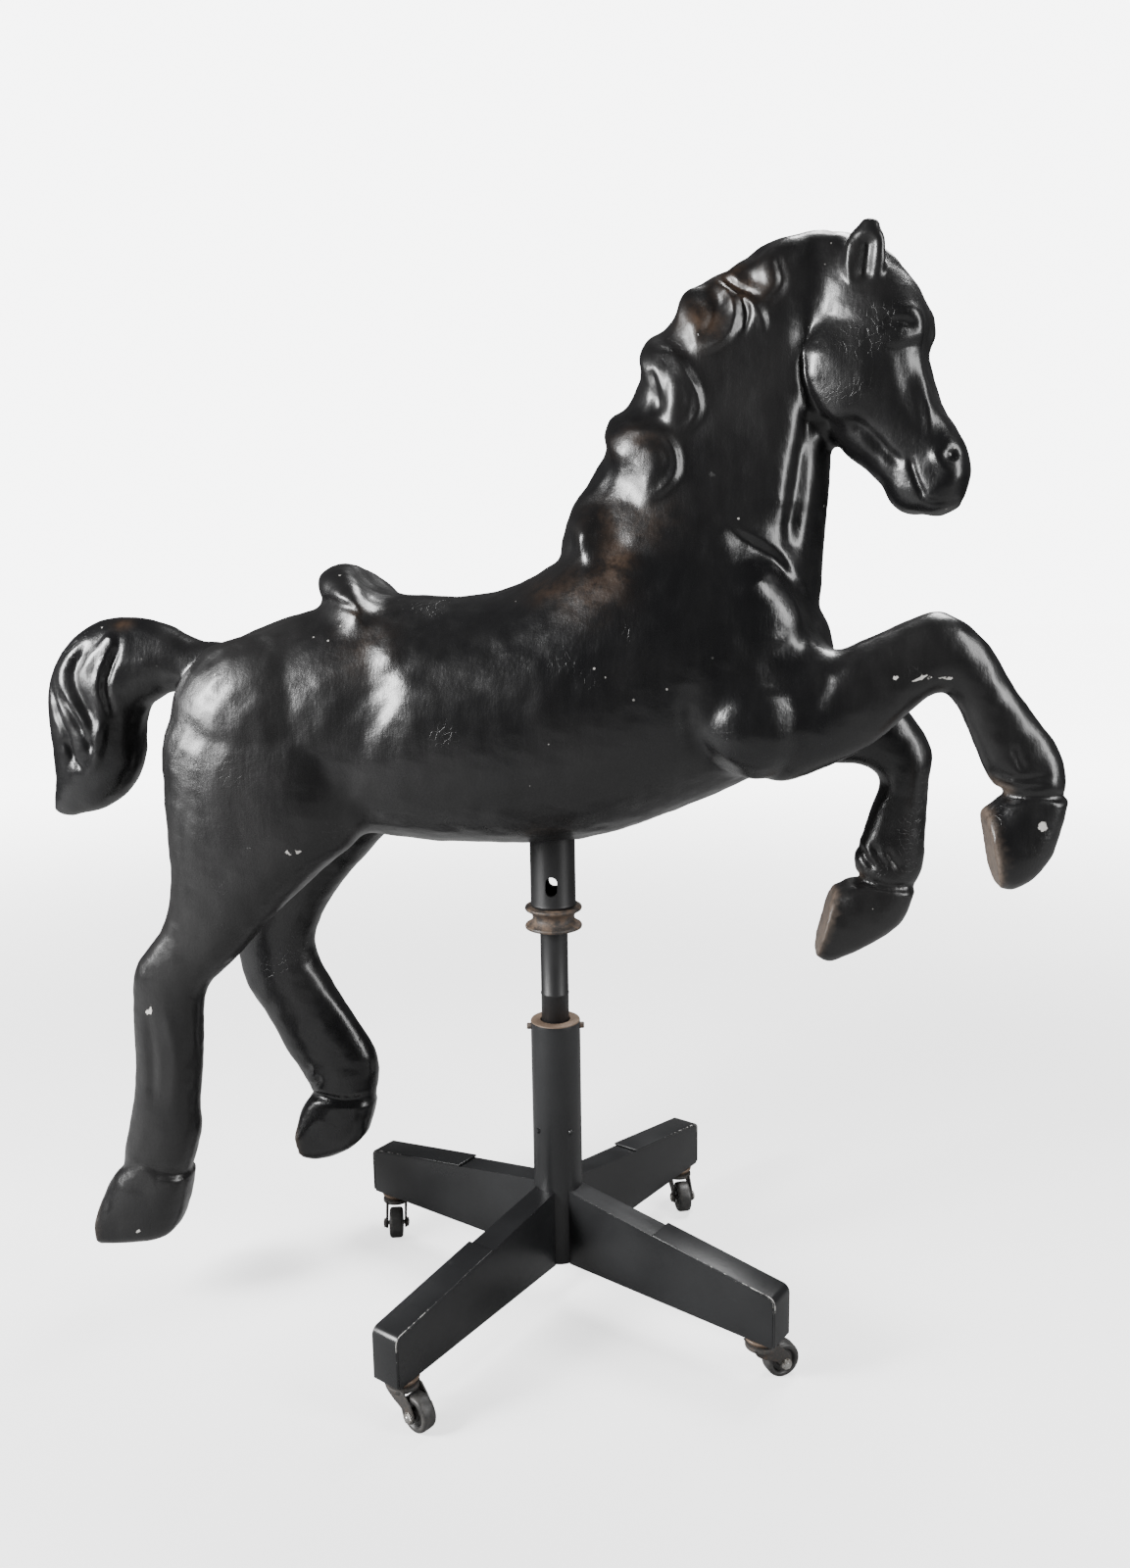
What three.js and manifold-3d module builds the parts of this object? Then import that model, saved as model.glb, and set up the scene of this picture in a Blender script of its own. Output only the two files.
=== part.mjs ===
// A carousel jumper horse carried on a rolling stand: a horse of one piece, a pole under its belly,
// and a four-armed foot of folded steel on swivel casters. Millimetres, +Z up, +X towards the head,
// +Y to the horse's left. The floor is z = 0.
import * as THREE from "three";
import { mergeVertices } from "three/addons/utils/BufferGeometryUtils.js";
import Module from "manifold-3d";

const wasm = await Module();
wasm.setup();

// ---------------------------------------------------------------- driving dimensions
const GAP = 0.3; // clearance kept between pieces that touch
const DATUM = -14; // the horse, the pole and the arms are drawn from a level this far from the floor

const COLUMN = { outerRadius: 30.15, boreRadius: 17.4, bottom: 73, top: 384 };
const POST = { radius: 16.7, bottom: 120, top: 499.7 };
const SPOOL = { bottom: 500, top: 527, flangeRadius: 34.4, neckRadius: 25, flangeThickness: 4.5 };
const SOCKET = { outerRadius: 27, boreRadius: 21.5, top: 640, slotWidth: 14, slotHeight: 24, slotHeightAt: 556, slotYaw: 94 };
const SET_SCREW = { radius: 4, height: 375, reach: 35, yaw: 9 };
const COLUMN_BOLT = { radius: 3.5, height: 247, reach: 33, yaws: [-48, -132] };

const ARM = {
  yaw: 61.65, // of the left front arm; the others follow every quarter turn
  endRadius: 311, // column axis to the outer face of the end
  hubHalfWidth: 14.1,
  endHalfWidth: 17.6,
  hubTop: 174,
  endTop: 127,
  hubBottom: 73,
  endBottom: 69,
  sheet: 3,
};
const STRAP = { start: 150, thickness: 3, bendRadius: 10, bottom: 71 };
const SIDES = ["left_front", "left_rear", "right_rear", "right_front"];

const CASTER = {
  stemRadiusAt: 285, // column axis to the swivel axis
  wheelRadius: 20.5,
  wheelHalfWidth: 9,
  trail: 25,
  bearingRadius: 19,
  plateTop: 46.5,
  plateThickness: 3,
  plateRadius: 18.5,
  legThickness: 2.5,
  legInner: 11.5,
  axleRadius: 4,
  pinRadius: 4,
};
const CASTER_YAWS = { left_front: -72, left_rear: -77, right_rear: -35, right_front: 29 }; // way each wheel trails

const HEAD_TURN = 24; // degrees that the head turns to the horse's right
const HEAD_PIVOT = 300; // x of the upright axis that it turns about

// ---------------------------------------------------------------- finishes
const blackPaint = new THREE.MeshStandardMaterial({ color: 0x17171a, roughness: 0.35, metalness: 0.0 });
const greySteel = new THREE.MeshStandardMaterial({ color: 0x3a3b3d, roughness: 0.5, metalness: 0.4 });
const rustySteel = new THREE.MeshStandardMaterial({ color: 0x6b5442, roughness: 0.8, metalness: 0.3 });
const brightSteel = new THREE.MeshStandardMaterial({ color: 0x9a9a96, roughness: 0.4, metalness: 0.9 });
const wheelPlastic = new THREE.MeshStandardMaterial({ color: 0x1c1c1d, roughness: 0.55, metalness: 0.0 });

// ---------------------------------------------------------------- small tools
const radians = THREE.MathUtils.degToRad;

/** A closed three.js geometry as a solid, with its shared corners merged. */
function solid(geometry) {
  const bare = new THREE.BufferGeometry();
  const source = geometry.index ? geometry.toNonIndexed() : geometry;
  bare.setAttribute("position", source.getAttribute("position"));
  const merged = mergeVertices(bare, 1e-4);
  const vertProperties = new Float32Array(merged.getAttribute("position").array);
  const triVerts = new Uint32Array(merged.index.array);
  return new wasm.Manifold(new wasm.Mesh({ numProp: 3, vertProperties, triVerts }));
}

/** A solid as a three.js geometry again. */
function geometryOf(body) {
  const mesh = body.getMesh();
  const geometry = new THREE.BufferGeometry();
  geometry.setAttribute("position", new THREE.BufferAttribute(new Float32Array(mesh.vertProperties), 3));
  geometry.setIndex(new THREE.BufferAttribute(new Uint32Array(mesh.triVerts), 1));
  geometry.computeVertexNormals();
  return geometry;
}

/** Several closed geometries joined into one solid. */
const join = (geometries) => geometries.map(solid).reduce((whole, piece) => whole.add(piece));

/** A named piece. */
function piece(name, shape, material) {
  const geometry = shape.isBufferGeometry ? shape : geometryOf(shape);
  const mesh = new THREE.Mesh(geometry, material);
  mesh.name = name;
  return mesh;
}

/** An upright cylinder between two heights, its axis at (x, y). */
function uprightCylinder(radius, bottom, top, { x = 0, y = 0, sides = 32 } = {}) {
  const geometry = new THREE.CylinderGeometry(radius, radius, top - bottom, sides);
  return geometry.rotateX(Math.PI / 2).translate(x, y, (bottom + top) / 2);
}

/** A lying cylinder from radius r0 to r1 of the column axis, in the direction yaw, at a height. */
function lyingCylinder(radius, r0, r1, height, yaw, sides = 6) {
  const geometry = new THREE.CylinderGeometry(radius, radius, r1 - r0, sides);
  return geometry.rotateZ(-Math.PI / 2).translate((r0 + r1) / 2, 0, 0).rotateZ(radians(yaw)).translate(0, 0, height);
}

/** The same geometry, with its faces turned outwards if they pointed inwards. */
function flipped(geometry) {
  const body = solid(geometry);
  if (body.volume() > 0) return geometry;
  const index = Array.from(geometry.index.array);
  for (let i = 0; i < index.length; i += 3) [index[i + 1], index[i + 2]] = [index[i + 2], index[i + 1]];
  geometry.setIndex(index);
  return geometry;
}

/** A closed skin over rings of points, each ring in the same order, with a point at each end. */
function skin(rings, startPoint, endPoint) {
  const sides = rings[0].length;
  const positions = [...rings.flat(), startPoint, endPoint].flatMap((p) => [p.x, p.y, p.z]);
  const first = rings.length * sides;
  const index = [];
  for (let side = 0; side < sides; side++) {
    const next = (side + 1) % sides;
    for (let ring = 0; ring + 1 < rings.length; ring++) {
      const a = ring * sides + side;
      const b = ring * sides + next;
      index.push(a, b, a + sides, b, b + sides, a + sides);
    }
    const last = (rings.length - 1) * sides;
    index.push(first, next, side, first + 1, last + side, last + next);
  }
  const geometry = new THREE.BufferGeometry();
  geometry.setAttribute("position", new THREE.Float32BufferAttribute(positions, 3));
  geometry.setIndex(index);
  return flipped(geometry);
}

const catmullRom = (p0, p1, p2, p3, t) =>
  0.5 * (2 * p1 + (p2 - p0) * t + (2 * p0 - 5 * p1 + 4 * p2 - p3) * t * t + (3 * p1 - p0 - 3 * p2 + p3) * t ** 3);

/** Rows of numbers run through by a smooth curve, with `steps` rows for each span. */
function smoothRows(rows, steps) {
  const at = (i) => rows[Math.min(Math.max(i, 0), rows.length - 1)];
  const out = [];
  for (let i = 0; i + 1 < rows.length; i++)
    for (let s = 0; s < steps; s++)
      out.push(rows[i].map((_, k) => catmullRom(at(i - 1)[k], at(i)[k], at(i + 1)[k], at(i + 2)[k], s / steps)));
  out.push(rows.at(-1).slice());
  return out;
}

/**
 * A limb from ribs. Each rib is [front x, front z, back x, back z, y, half width]: a rounded section across
 * the body's length whose front and back lie on the limb's outline. `cap` rounds the two ends.
 */
function limb(ribs, { sides = 10, steps = 1, squareness = 2.2, cap = [0.5, 0.5] } = {}) {
  const rows = smoothRows(ribs, steps);
  const ring = ([fx, fz, bx, bz, y, half], scale = 1, push = new THREE.Vector3()) =>
    Array.from({ length: sides }, (_, k) => {
      const angle = (2 * Math.PI * k) / sides;
      const power = 2 / squareness;
      const along = Math.sign(Math.cos(angle)) * Math.abs(Math.cos(angle)) ** power * scale;
      const across = Math.sign(Math.sin(angle)) * Math.abs(Math.sin(angle)) ** power * scale;
      const x = (fx + bx) / 2 + (along * (fx - bx)) / 2;
      const z = (fz + bz) / 2 + (along * (fz - bz)) / 2;
      return new THREE.Vector3(x, y + across * half, z).add(push);
    });
  const middle = ([fx, fz, bx, bz, y]) => new THREE.Vector3((fx + bx) / 2, y, (fz + bz) / 2);
  const outward = (row, inner) => middle(row).sub(middle(inner)).normalize();
  const depth = ([fx, fz, bx, bz]) => Math.hypot(fx - bx, fz - bz) / 2;
  const [startRow, endRow] = [rows[0], rows.at(-1)];
  const startWay = outward(startRow, rows[1]).multiplyScalar(depth(startRow) * cap[0]);
  const endWay = outward(endRow, rows.at(-2)).multiplyScalar(depth(endRow) * cap[1]);
  const rings = rows.map((row) => ring(row));
  if (cap[0] > 0) rings.unshift(ring(startRow, 0.72, startWay.clone().multiplyScalar(0.7)));
  if (cap[1] > 0) rings.push(ring(endRow, 0.72, endWay.clone().multiplyScalar(0.7)));
  return skin(rings, middle(startRow).add(startWay), middle(endRow).add(endWay));
}

/**
 * A lock of hair, an ear or a ridge from beads. Each bead is [x, y, z, thickness, width]: half sizes of the
 * section, the width being measured in the upright plane of the body and the thickness along `lean`.
 */
function lock(beads, { lean = [0, -1, 0], sides = 6, steps = 2 } = {}) {
  const rows = smoothRows(beads, steps);
  const leanWay = new THREE.Vector3(...lean).normalize();
  const place = (row) => new THREE.Vector3(row[0], row[1], row[2]);
  const rings = rows.map((row, i) => {
    const way = place(rows[Math.min(i + 1, rows.length - 1)]).sub(place(rows[Math.max(i - 1, 0)])).normalize();
    const across = new THREE.Vector3().crossVectors(way, leanWay).normalize();
    const out = new THREE.Vector3().crossVectors(across, way).normalize();
    return Array.from({ length: sides }, (_, k) => {
      const angle = (2 * Math.PI * k) / sides;
      return place(row)
        .addScaledVector(out, row[3] * Math.cos(angle))
        .addScaledVector(across, row[4] * Math.sin(angle));
    });
  });
  const tip = (row, inner) => place(row).add(place(row).sub(place(inner)).multiplyScalar(0.35));
  return skin(rings, tip(rows[0], rows[1]), tip(rows.at(-1), rows.at(-2)));
}

/** The same beads on the other side of the body. */
const mirroredBeads = (beads) => beads.map(([x, y, z, ...sizes]) => [x, -y, z, ...sizes]);

// ---------------------------------------------------------------- the horse
const trunkRibs = [
  // top of the back, underside, y, half width
  [-418, 828, -428, 735, 0, 62],
  [-385, 852, -402, 690, 0, 100],
  [-338, 875, -345, 652, 0, 126],
  [-280, 893, -282, 625, 0, 138],
  [-220, 903, -215, 618, 0, 141],
  [-160, 905, -150, 610, 0, 140],
  [-100, 904, -85, 608, 0, 139],
  [-45, 911, -20, 608, 0, 138],
  [5, 932, 60, 618, 0, 135],
  [60, 965, 140, 645, 0, 130],
  [130, 985, 210, 676, 0, 124],
  [205, 975, 262, 705, 0, 112],
  [262, 925, 294, 748, 0, 88],
  [296, 882, 312, 800, 0, 52],
];
const neckRibs = [
  // throat side, crest side, y, half width
  [286, 800, 40, 905, 0, 108],
  [305, 880, 28, 955, 0, 98],
  [309, 950, 45, 1008, 0, 80],
  [314, 1010, 72, 1058, 0, 68],
  [314, 1065, 98, 1108, 0, 60],
  [306, 1115, 122, 1160, 0, 54],
  [302, 1155, 160, 1206, 0, 50],
  [308, 1180, 212, 1232, 0, 46],
  [322, 1192, 262, 1248, 0, 42],
];
const headRibs = [
  // forehead and nose, jaw, y, half width: along the head's own middle plane
  [42, 1259, -22, 1244, 0, 34],
  [75, 1238, -14, 1200, 0, 43],
  [103, 1207, -6, 1160, 0, 48],
  [115, 1175, 2, 1118, 0, 50],
  [114, 1140, 14, 1074, 0, 48],
  [123, 1106, 30, 1045, 0, 41],
  [135, 1082, 55, 1026, 0, 34],
  [149, 1061, 75, 1005, 0, 30],
  [160, 1042, 85, 987, 0, 30],
  [166, 1018, 102, 977, 0, 30],
  [159, 996, 124, 976, 0, 25],
];
const foreRightRibs = [
  [286, 862, 225, 705, -58, 46],
  [316, 836, 262, 694, -70, 46],
  [350, 848, 318, 714, -76, 41],
  [385, 864, 362, 739, -76, 36],
  [420, 877, 398, 772, -76, 33],
  [447, 867, 425, 791, -76, 32],
  [473, 844, 444, 780, -76, 29],
  [498, 805, 459, 750, -76, 26],
  [524, 768, 474, 714, -76, 25],
  [550, 733, 489, 690, -76, 27],
  [559, 700, 496, 683, -76, 28],
  [556, 664, 492, 672, -76, 27],
];
const foreLeftRibs = [
  [292, 850, 235, 705, 58, 46],
  [325, 822, 280, 694, 70, 44],
  [362, 796, 325, 690, 76, 39],
  [398, 772, 356, 690, 76, 34],
  [427, 737, 379, 680, 76, 32],
  [444, 703, 384, 662, 76, 30],
  [441, 660, 377, 638, 76, 27],
  [440, 615, 366, 603, 76, 25],
  [439, 572, 357, 574, 76, 27],
  [430, 543, 361, 554, 76, 28],
  [414, 508, 356, 542, 76, 27],
];
const hindRightRibs = [
  [-205, 790, -392, 822, -58, 60],
  [-192, 705, -434, 752, -74, 66],
  [-206, 632, -440, 682, -80, 62],
  [-262, 582, -437, 622, -85, 53],
  [-318, 530, -438, 567, -86, 43],
  [-362, 483, -453, 516, -86, 36],
  [-399, 448, -492, 464, -86, 33],
  [-411, 424, -498, 404, -86, 31],
  [-418, 360, -501, 350, -86, 28],
  [-426, 292, -506, 305, -86, 28],
  [-428, 256, -521, 246, -86, 31],
  [-438, 220, -525, 222, -86, 32],
  [-454, 175, -530, 202, -86, 30],
];
const hindLeftRibs = [
  [-200, 790, -392, 822, 58, 60],
  [-178, 705, -434, 752, 74, 66],
  [-186, 640, -440, 676, 80, 60],
  [-240, 582, -434, 600, 85, 52],
  [-292, 524, -436, 530, 86, 43],
  [-322, 480, -440, 470, 86, 37],
  [-333, 436, -428, 392, 86, 34],
  [-312, 388, -402, 344, 86, 31],
  [-283, 340, -381, 302, 86, 28],
  [-256, 292, -362, 270, 86, 29],
  [-255, 250, -346, 240, 86, 31],
  [-266, 198, -346, 226, 86, 30],
];
// Each hoof runs from the coronet to the sole.
const hoofRibs = {
  foreRight: [
    [562, 690, 497, 683, -76, 29],
    [561, 655, 489, 674, -76, 34],
    [543, 612, 484, 664, -76, 37],
    [509, 580, 482, 652, -76, 38],
  ],
  foreLeft: [
    [426, 525, 362, 549, 76, 29],
    [404, 492, 350, 546, 76, 34],
    [362, 465, 342, 538, 76, 37],
    [318, 447, 333, 528, 76, 38],
  ],
  hindRight: [
    [-447, 200, -527, 212, -86, 32],
    [-462, 152, -540, 200, -86, 36],
    [-500, 113, -548, 186, -86, 38],
    [-553, 103, -553, 168, -86, 39],
  ],
  hindLeft: [
    [-260, 215, -345, 234, 86, 32],
    [-275, 172, -352, 222, 86, 36],
    [-310, 152, -354, 208, 86, 37],
    [-345, 146, -360, 190, 86, 38],
  ],
};
const tailRibs = [
  // outer edge, inner edge, y, half width
  [-392, 845, -398, 775, 0, 24],
  [-425, 846, -432, 782, 0, 28],
  [-458, 862, -462, 784, 0, 31],
  [-490, 872, -482, 774, 0, 35],
  [-524, 874, -494, 766, 0, 38],
  [-560, 865, -501, 752, 0, 41],
  [-593, 840, -505, 735, 0, 43],
  [-615, 804, -506, 714, 0, 43],
  [-622, 762, -510, 694, 0, 41],
  [-621, 715, -520, 674, 0, 37],
  [-622, 680, -536, 655, 0, 31],
  [-627, 655, -565, 638, 0, 21],
  [-630, 640, -604, 629, 0, 9],
];
const cantleBeads = [
  // ridge behind the seat, from one flank over the back to the other
  [-188, -104, 866, 12, 16],
  [-212, -74, 896, 18, 24],
  [-238, -38, 911, 24, 29],
  [-250, 0, 914, 26, 30],
  [-238, 38, 911, 24, 29],
  [-212, 74, 896, 18, 24],
  [-188, 104, 866, 12, 16],
];
const maneLocks = [
  // each lock leaves the crest, runs forward down the neck's side and curls back at its tip
  [[296, -10, 1252, 20, 20], [268, -30, 1236, 20, 26], [250, -42, 1216, 17, 26], [250, -47, 1192, 10, 14]],
  [[234, -6, 1230, 18, 18], [220, -30, 1216, 18, 24], [230, -46, 1190, 15, 20], [228, -51, 1166, 8, 11]],
  [[186, -4, 1206, 24, 24], [170, -32, 1194, 23, 32], [182, -52, 1172, 19, 27], [172, -60, 1150, 8, 11]],
  [[138, -4, 1158, 24, 26], [132, -38, 1138, 22, 27], [150, -60, 1106, 18, 21], [146, -68, 1074, 8, 10]],
  [[96, -4, 1078, 24, 26], [94, -46, 1060, 22, 28], [124, -72, 1034, 19, 27], [124, -80, 1004, 8, 12]],
  [[48, -4, 996, 22, 26], [50, -50, 980, 20, 22], [60, -82, 964, 14, 16], [52, -92, 946, 7, 8]],
];
const tailStrands = [
  [[-470, -30, 846, 8, 9], [-520, -38, 838, 9, 12], [-548, -42, 800, 9, 13], [-540, -42, 752, 9, 12], [-556, -38, 704, 8, 11], [-596, -26, 662, 6, 8]],
  [[-520, -34, 858, 8, 8], [-572, -38, 832, 9, 11], [-592, -40, 786, 9, 12], [-578, -38, 738, 9, 11], [-596, -30, 690, 7, 9]],
];
const earBeads = [
  // in the head's own frame, base to tip
  [42, -24, 1196, 15, 20],
  [52, -34, 1214, 15, 27],
  [60, -39, 1238, 11, 25],
  [66, -41, 1258, 7, 15],
  [70, -41, 1267, 3, 6],
];
const forelockBeads = [
  [30, -16, 1254, 14, 20],
  [62, -10, 1232, 12, 18],
  [86, -6, 1206, 9, 13],
  [99, -4, 1180, 5, 7],
];

/** The brow, eyeball, nostril and jaw of the head's right side, or of its left with side = 1. */
function faceDetails(side) {
  const y = (away) => side * away;
  const brow = lock([[82, y(32), 1190, 6, 8], [99, y(38), 1181, 8, 9], [110, y(33), 1166, 7, 8], [112, y(28), 1150, 5, 6]], { steps: 1 });
  const eye = new THREE.SphereGeometry(13, 8, 5).scale(1, 0.8, 0.85).translate(104, y(38), 1158);
  const cheek = new THREE.SphereGeometry(1, 10, 6).scale(42, 13, 52).translate(42, y(43), 1122);
  const nostril = lock([[138, y(25), 1046, 6, 7], [147, y(28), 1030, 8, 9], [159, y(22), 1020, 6, 8]], { steps: 1 });
  return [brow, eye, cheek, nostril];
}

/** The head, turned as one about its upright axis. */
function headPieces() {
  const pieces = [
    limb(headRibs, { sides: 12, squareness: 2.3, cap: [0.5, 0.45] }),
    lock(earBeads, { sides: 8, steps: 1 }),
    lock(mirroredBeads(earBeads).map(([x, y, z, a, b]) => [x - 16, y, z - 4, a, b]), { sides: 8, steps: 1 }),
    lock(forelockBeads),
    ...faceDetails(-1),
    ...faceDetails(1),
  ];
  const turn = new THREE.Matrix4().makeRotationZ(radians(-HEAD_TURN)).setPosition(HEAD_PIVOT, 0, 0);
  return pieces.map((shape) => shape.applyMatrix4(turn));
}

/** The muscles that stand out on the right side, or on the left with side = 1. */
function musclePieces(side) {
  const bulge = (x, y, z, sizeX, sizeY, sizeZ, tilt = 0) =>
    new THREE.SphereGeometry(1, 10, 7).scale(sizeX, sizeY, sizeZ).rotateY(radians(tilt)).translate(x, side * y, z);
  return [
    bulge(235, 78, 840, 62, 44, 92, 25), // shoulder
    bulge(-330, 84, 770, 100, 56, 92, -20), // haunch
  ];
}

/** The whole carved horse, with the pocket that its pole stands in. */
function horse() {
  const shapes = [
    limb(trunkRibs, { sides: 18, squareness: 2.15, cap: [0.35, 0.4] }),
    limb(neckRibs, { sides: 14, squareness: 2.1, cap: [0.2, 0.5] }),
    limb(foreRightRibs, { cap: [0.4, 0.2] }),
    limb(foreLeftRibs, { cap: [0.4, 0.2] }),
    limb(hindRightRibs, { sides: 10, cap: [0.4, 0.2] }),
    limb(hindLeftRibs, { sides: 10, cap: [0.4, 0.2] }),
    ...Object.values(hoofRibs).map((ribs) => limb(ribs, { squareness: 2.5, cap: [0, 0] })),
    limb(tailRibs, { cap: [0.4, 0.6] }),
    lock(cantleBeads, { lean: [0, 0, 1], steps: 1 }),
    ...maneLocks.map((beads) => lock(beads)),
    ...maneLocks.map((beads) => lock(mirroredBeads(beads), { steps: 1, sides: 5 })),
    ...tailStrands.map((beads) => lock(beads, { steps: 1, sides: 5 })),
    ...tailStrands.map((beads) => lock(mirroredBeads(beads), { steps: 1, sides: 5 })),
    ...musclePieces(-1),
    ...musclePieces(1),
    ...headPieces(),
  ];
  const pocket = uprightCylinder(SOCKET.outerRadius + GAP, SOCKET.top - 160, SOCKET.top + GAP, { sides: 20 });
  return join(shapes).subtract(solid(pocket));
}

// ---------------------------------------------------------------- the pole
function socketPipe() {
  const bottom = SPOOL.top + GAP;
  const bore = uprightCylinder(SOCKET.boreRadius, bottom - 1, SOCKET.top + 1, { sides: 12 });
  const slot = new THREE.Shape();
  const straight = (SOCKET.slotHeight - SOCKET.slotWidth) / 2;
  slot.absarc(0, straight, SOCKET.slotWidth / 2, 0, Math.PI, false);
  slot.absarc(0, -straight, SOCKET.slotWidth / 2, Math.PI, 2 * Math.PI, false);
  const reach = 2 * SOCKET.outerRadius + 20;
  const cutter = new THREE.ExtrudeGeometry(slot, { depth: reach, bevelEnabled: false, curveSegments: 3 })
    .translate(0, 0, -reach / 2)
    .rotateX(Math.PI / 2)
    .rotateZ(radians(SOCKET.slotYaw - 90))
    .translate(0, 0, SOCKET.slotHeightAt);
  const pipe = solid(uprightCylinder(SOCKET.outerRadius, bottom, SOCKET.top, { sides: 20 }));
  return pipe.subtract(solid(bore)).subtract(solid(cutter));
}

function spoolCollar() {
  const { bottom, top, flangeRadius, neckRadius, flangeThickness: edge } = SPOOL;
  const waist = (bottom + top) / 2;
  const profile = [
    [0.001, bottom],
    [flangeRadius - 1, bottom],
    [flangeRadius, bottom + edge / 2],
    [flangeRadius - 1, bottom + edge],
    [neckRadius, waist - 3],
    [neckRadius, waist + 3],
    [flangeRadius - 1, top - edge],
    [flangeRadius, top - edge / 2],
    [flangeRadius - 1, top],
    [0.001, top],
  ];
  return turnedSolid(profile, 18);
}

/** A solid of revolution from [radius, height] corners that start and end on the axis. */
function turnedSolid(corners, sides) {
  const onAxis = corners.map(([r, z]) => new THREE.Vector2(r < 0.01 ? 0 : r, z));
  const geometry = new THREE.LatheGeometry(onAxis, sides).rotateX(Math.PI / 2);
  return solid(flippedBare(geometry));
}

/** The geometry with only its corners, faces outwards. */
function flippedBare(geometry) {
  const bare = new THREE.BufferGeometry();
  bare.setAttribute("position", geometry.getAttribute("position"));
  bare.setIndex(geometry.index);
  return flipped(mergeVertices(bare, 1e-4));
}

function column() {
  const { outerRadius, boreRadius, bottom, top } = COLUMN;
  const tube = solid(uprightCylinder(outerRadius, bottom, top, { sides: 24 }));
  const holes = [
    uprightCylinder(boreRadius, bottom - 1, top + 1, { sides: 16 }),
    ...[0, 180].map((turn) => lyingCylinder(SET_SCREW.radius + GAP, boreRadius - 2, 40, SET_SCREW.height, SET_SCREW.yaw + turn)),
    ...COLUMN_BOLT.yaws.map((yaw) => lyingCylinder(COLUMN_BOLT.radius + GAP, 22, 40, COLUMN_BOLT.height, yaw)),
  ];
  return holes.reduce((body, hole) => body.subtract(solid(hole)), tube);
}

function polePieces() {
  const screws = [0, 180].map((turn, i) =>
    piece(
      ["set_screw_front", "set_screw_rear"][i],
      lyingCylinder(SET_SCREW.radius, POST.radius + 0.8, SET_SCREW.reach, SET_SCREW.height, SET_SCREW.yaw + turn),
      rustySteel,
    ),
  );
  const bolts = COLUMN_BOLT.yaws.map((yaw, i) =>
    piece(
      "column_bolt_" + ["front", "rear"][i],
      lyingCylinder(COLUMN_BOLT.radius, 22 + GAP, COLUMN_BOLT.reach, COLUMN_BOLT.height, yaw),
      greySteel,
    ),
  );
  return [
    piece("socket_pipe", socketPipe(), greySteel),
    piece("spool_collar", spoolCollar(), rustySteel),
    piece("post", uprightCylinder(POST.radius, POST.bottom, POST.top, { sides: 16 }), greySteel),
    piece("column", column(), greySteel),
    ...screws,
    ...bolts,
  ];
}

// ---------------------------------------------------------------- the foot
/** A straight bar along +X with its own top, bottom and half width at each end. */
function taperedBar(near, far) {
  const corners = [near, far].flatMap(({ x, half, top, bottom }) => [
    [x, -half, bottom],
    [x, half, bottom],
    [x, half, top],
    [x, -half, top],
  ]);
  const index = [0, 3, 2, 0, 2, 1, 4, 5, 6, 4, 6, 7];
  for (let side = 0; side < 4; side++) {
    const next = (side + 1) % 4;
    index.push(side, next, 4 + next, side, 4 + next, 4 + side);
  }
  const geometry = new THREE.BufferGeometry();
  geometry.setAttribute("position", new THREE.Float32BufferAttribute(corners.flat(), 3));
  geometry.setIndex(index);
  return flipped(geometry);
}

/** The arm's outline at a distance from the column axis, drawn in by an inset. */
function armAt(x, inset = 0) {
  const share = x / ARM.endRadius;
  const between = (hub, end) => hub + (end - hub) * share;
  return {
    x,
    half: between(ARM.hubHalfWidth, ARM.endHalfWidth) - inset,
    top: between(ARM.hubTop, ARM.endTop) - inset,
    bottom: between(ARM.hubBottom, ARM.endBottom),
  };
}

/** The quarter bend at an arm's end, `depth` under the strap's outer face, from its top to its end face. */
function endBend(depth, steps = 5) {
  const { thickness, bendRadius } = STRAP;
  const middle = { x: ARM.endRadius - bendRadius, z: armAt(ARM.endRadius - bendRadius).top + GAP + thickness - bendRadius };
  return Array.from({ length: steps + 1 }, (_, step) => {
    const angle = (step / steps) * (Math.PI / 2);
    const radius = bendRadius - depth;
    return [middle.x + radius * Math.sin(angle), middle.z + radius * Math.cos(angle)];
  });
}

/** An outline of [x, z] corners, drawn out to both sides of the arm's middle plane. */
function drawnAcross(corners, half) {
  const outline = new THREE.Shape(corners.map(([x, z]) => new THREE.Vector2(x, z)));
  const geometry = new THREE.ExtrudeGeometry(outline, { depth: 2 * half, bevelEnabled: false });
  return solid(geometry.translate(0, 0, -half).rotateX(Math.PI / 2));
}

/** One arm: a tapered channel, open below, closed at its end, with a floor plate where the caster sits. */
function arm() {
  const { sheet, endRadius } = ARM;
  const under = STRAP.thickness + GAP;
  const end = endRadius - under;
  const side = (inset) => [[0, 0], [end - inset, 0], ...endBend(under + inset).reverse(), [0, armAt(0).top - inset]];
  const shell = solid(taperedBar(armAt(20), armAt(endRadius))).intersect(drawnAcross(side(0), 40));
  const inner = (x) => ({ ...armAt(x, sheet), bottom: -10 });
  const hollow = solid(taperedBar(inner(10), inner(endRadius))).intersect(drawnAcross(side(sheet), 40));
  const plateRow = (x) => ({ ...armAt(x, sheet / 2), top: ARM.endBottom + sheet + 1, bottom: ARM.endBottom + 0.6 });
  const plate = solid(taperedBar(plateRow(CASTER.stemRadiusAt - 24), plateRow(end - sheet / 2)));
  const hub = solid(uprightCylinder(COLUMN.outerRadius + GAP, -20, 400, { sides: 24 }));
  return shell.subtract(hollow).add(plate).subtract(hub);
}

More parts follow.
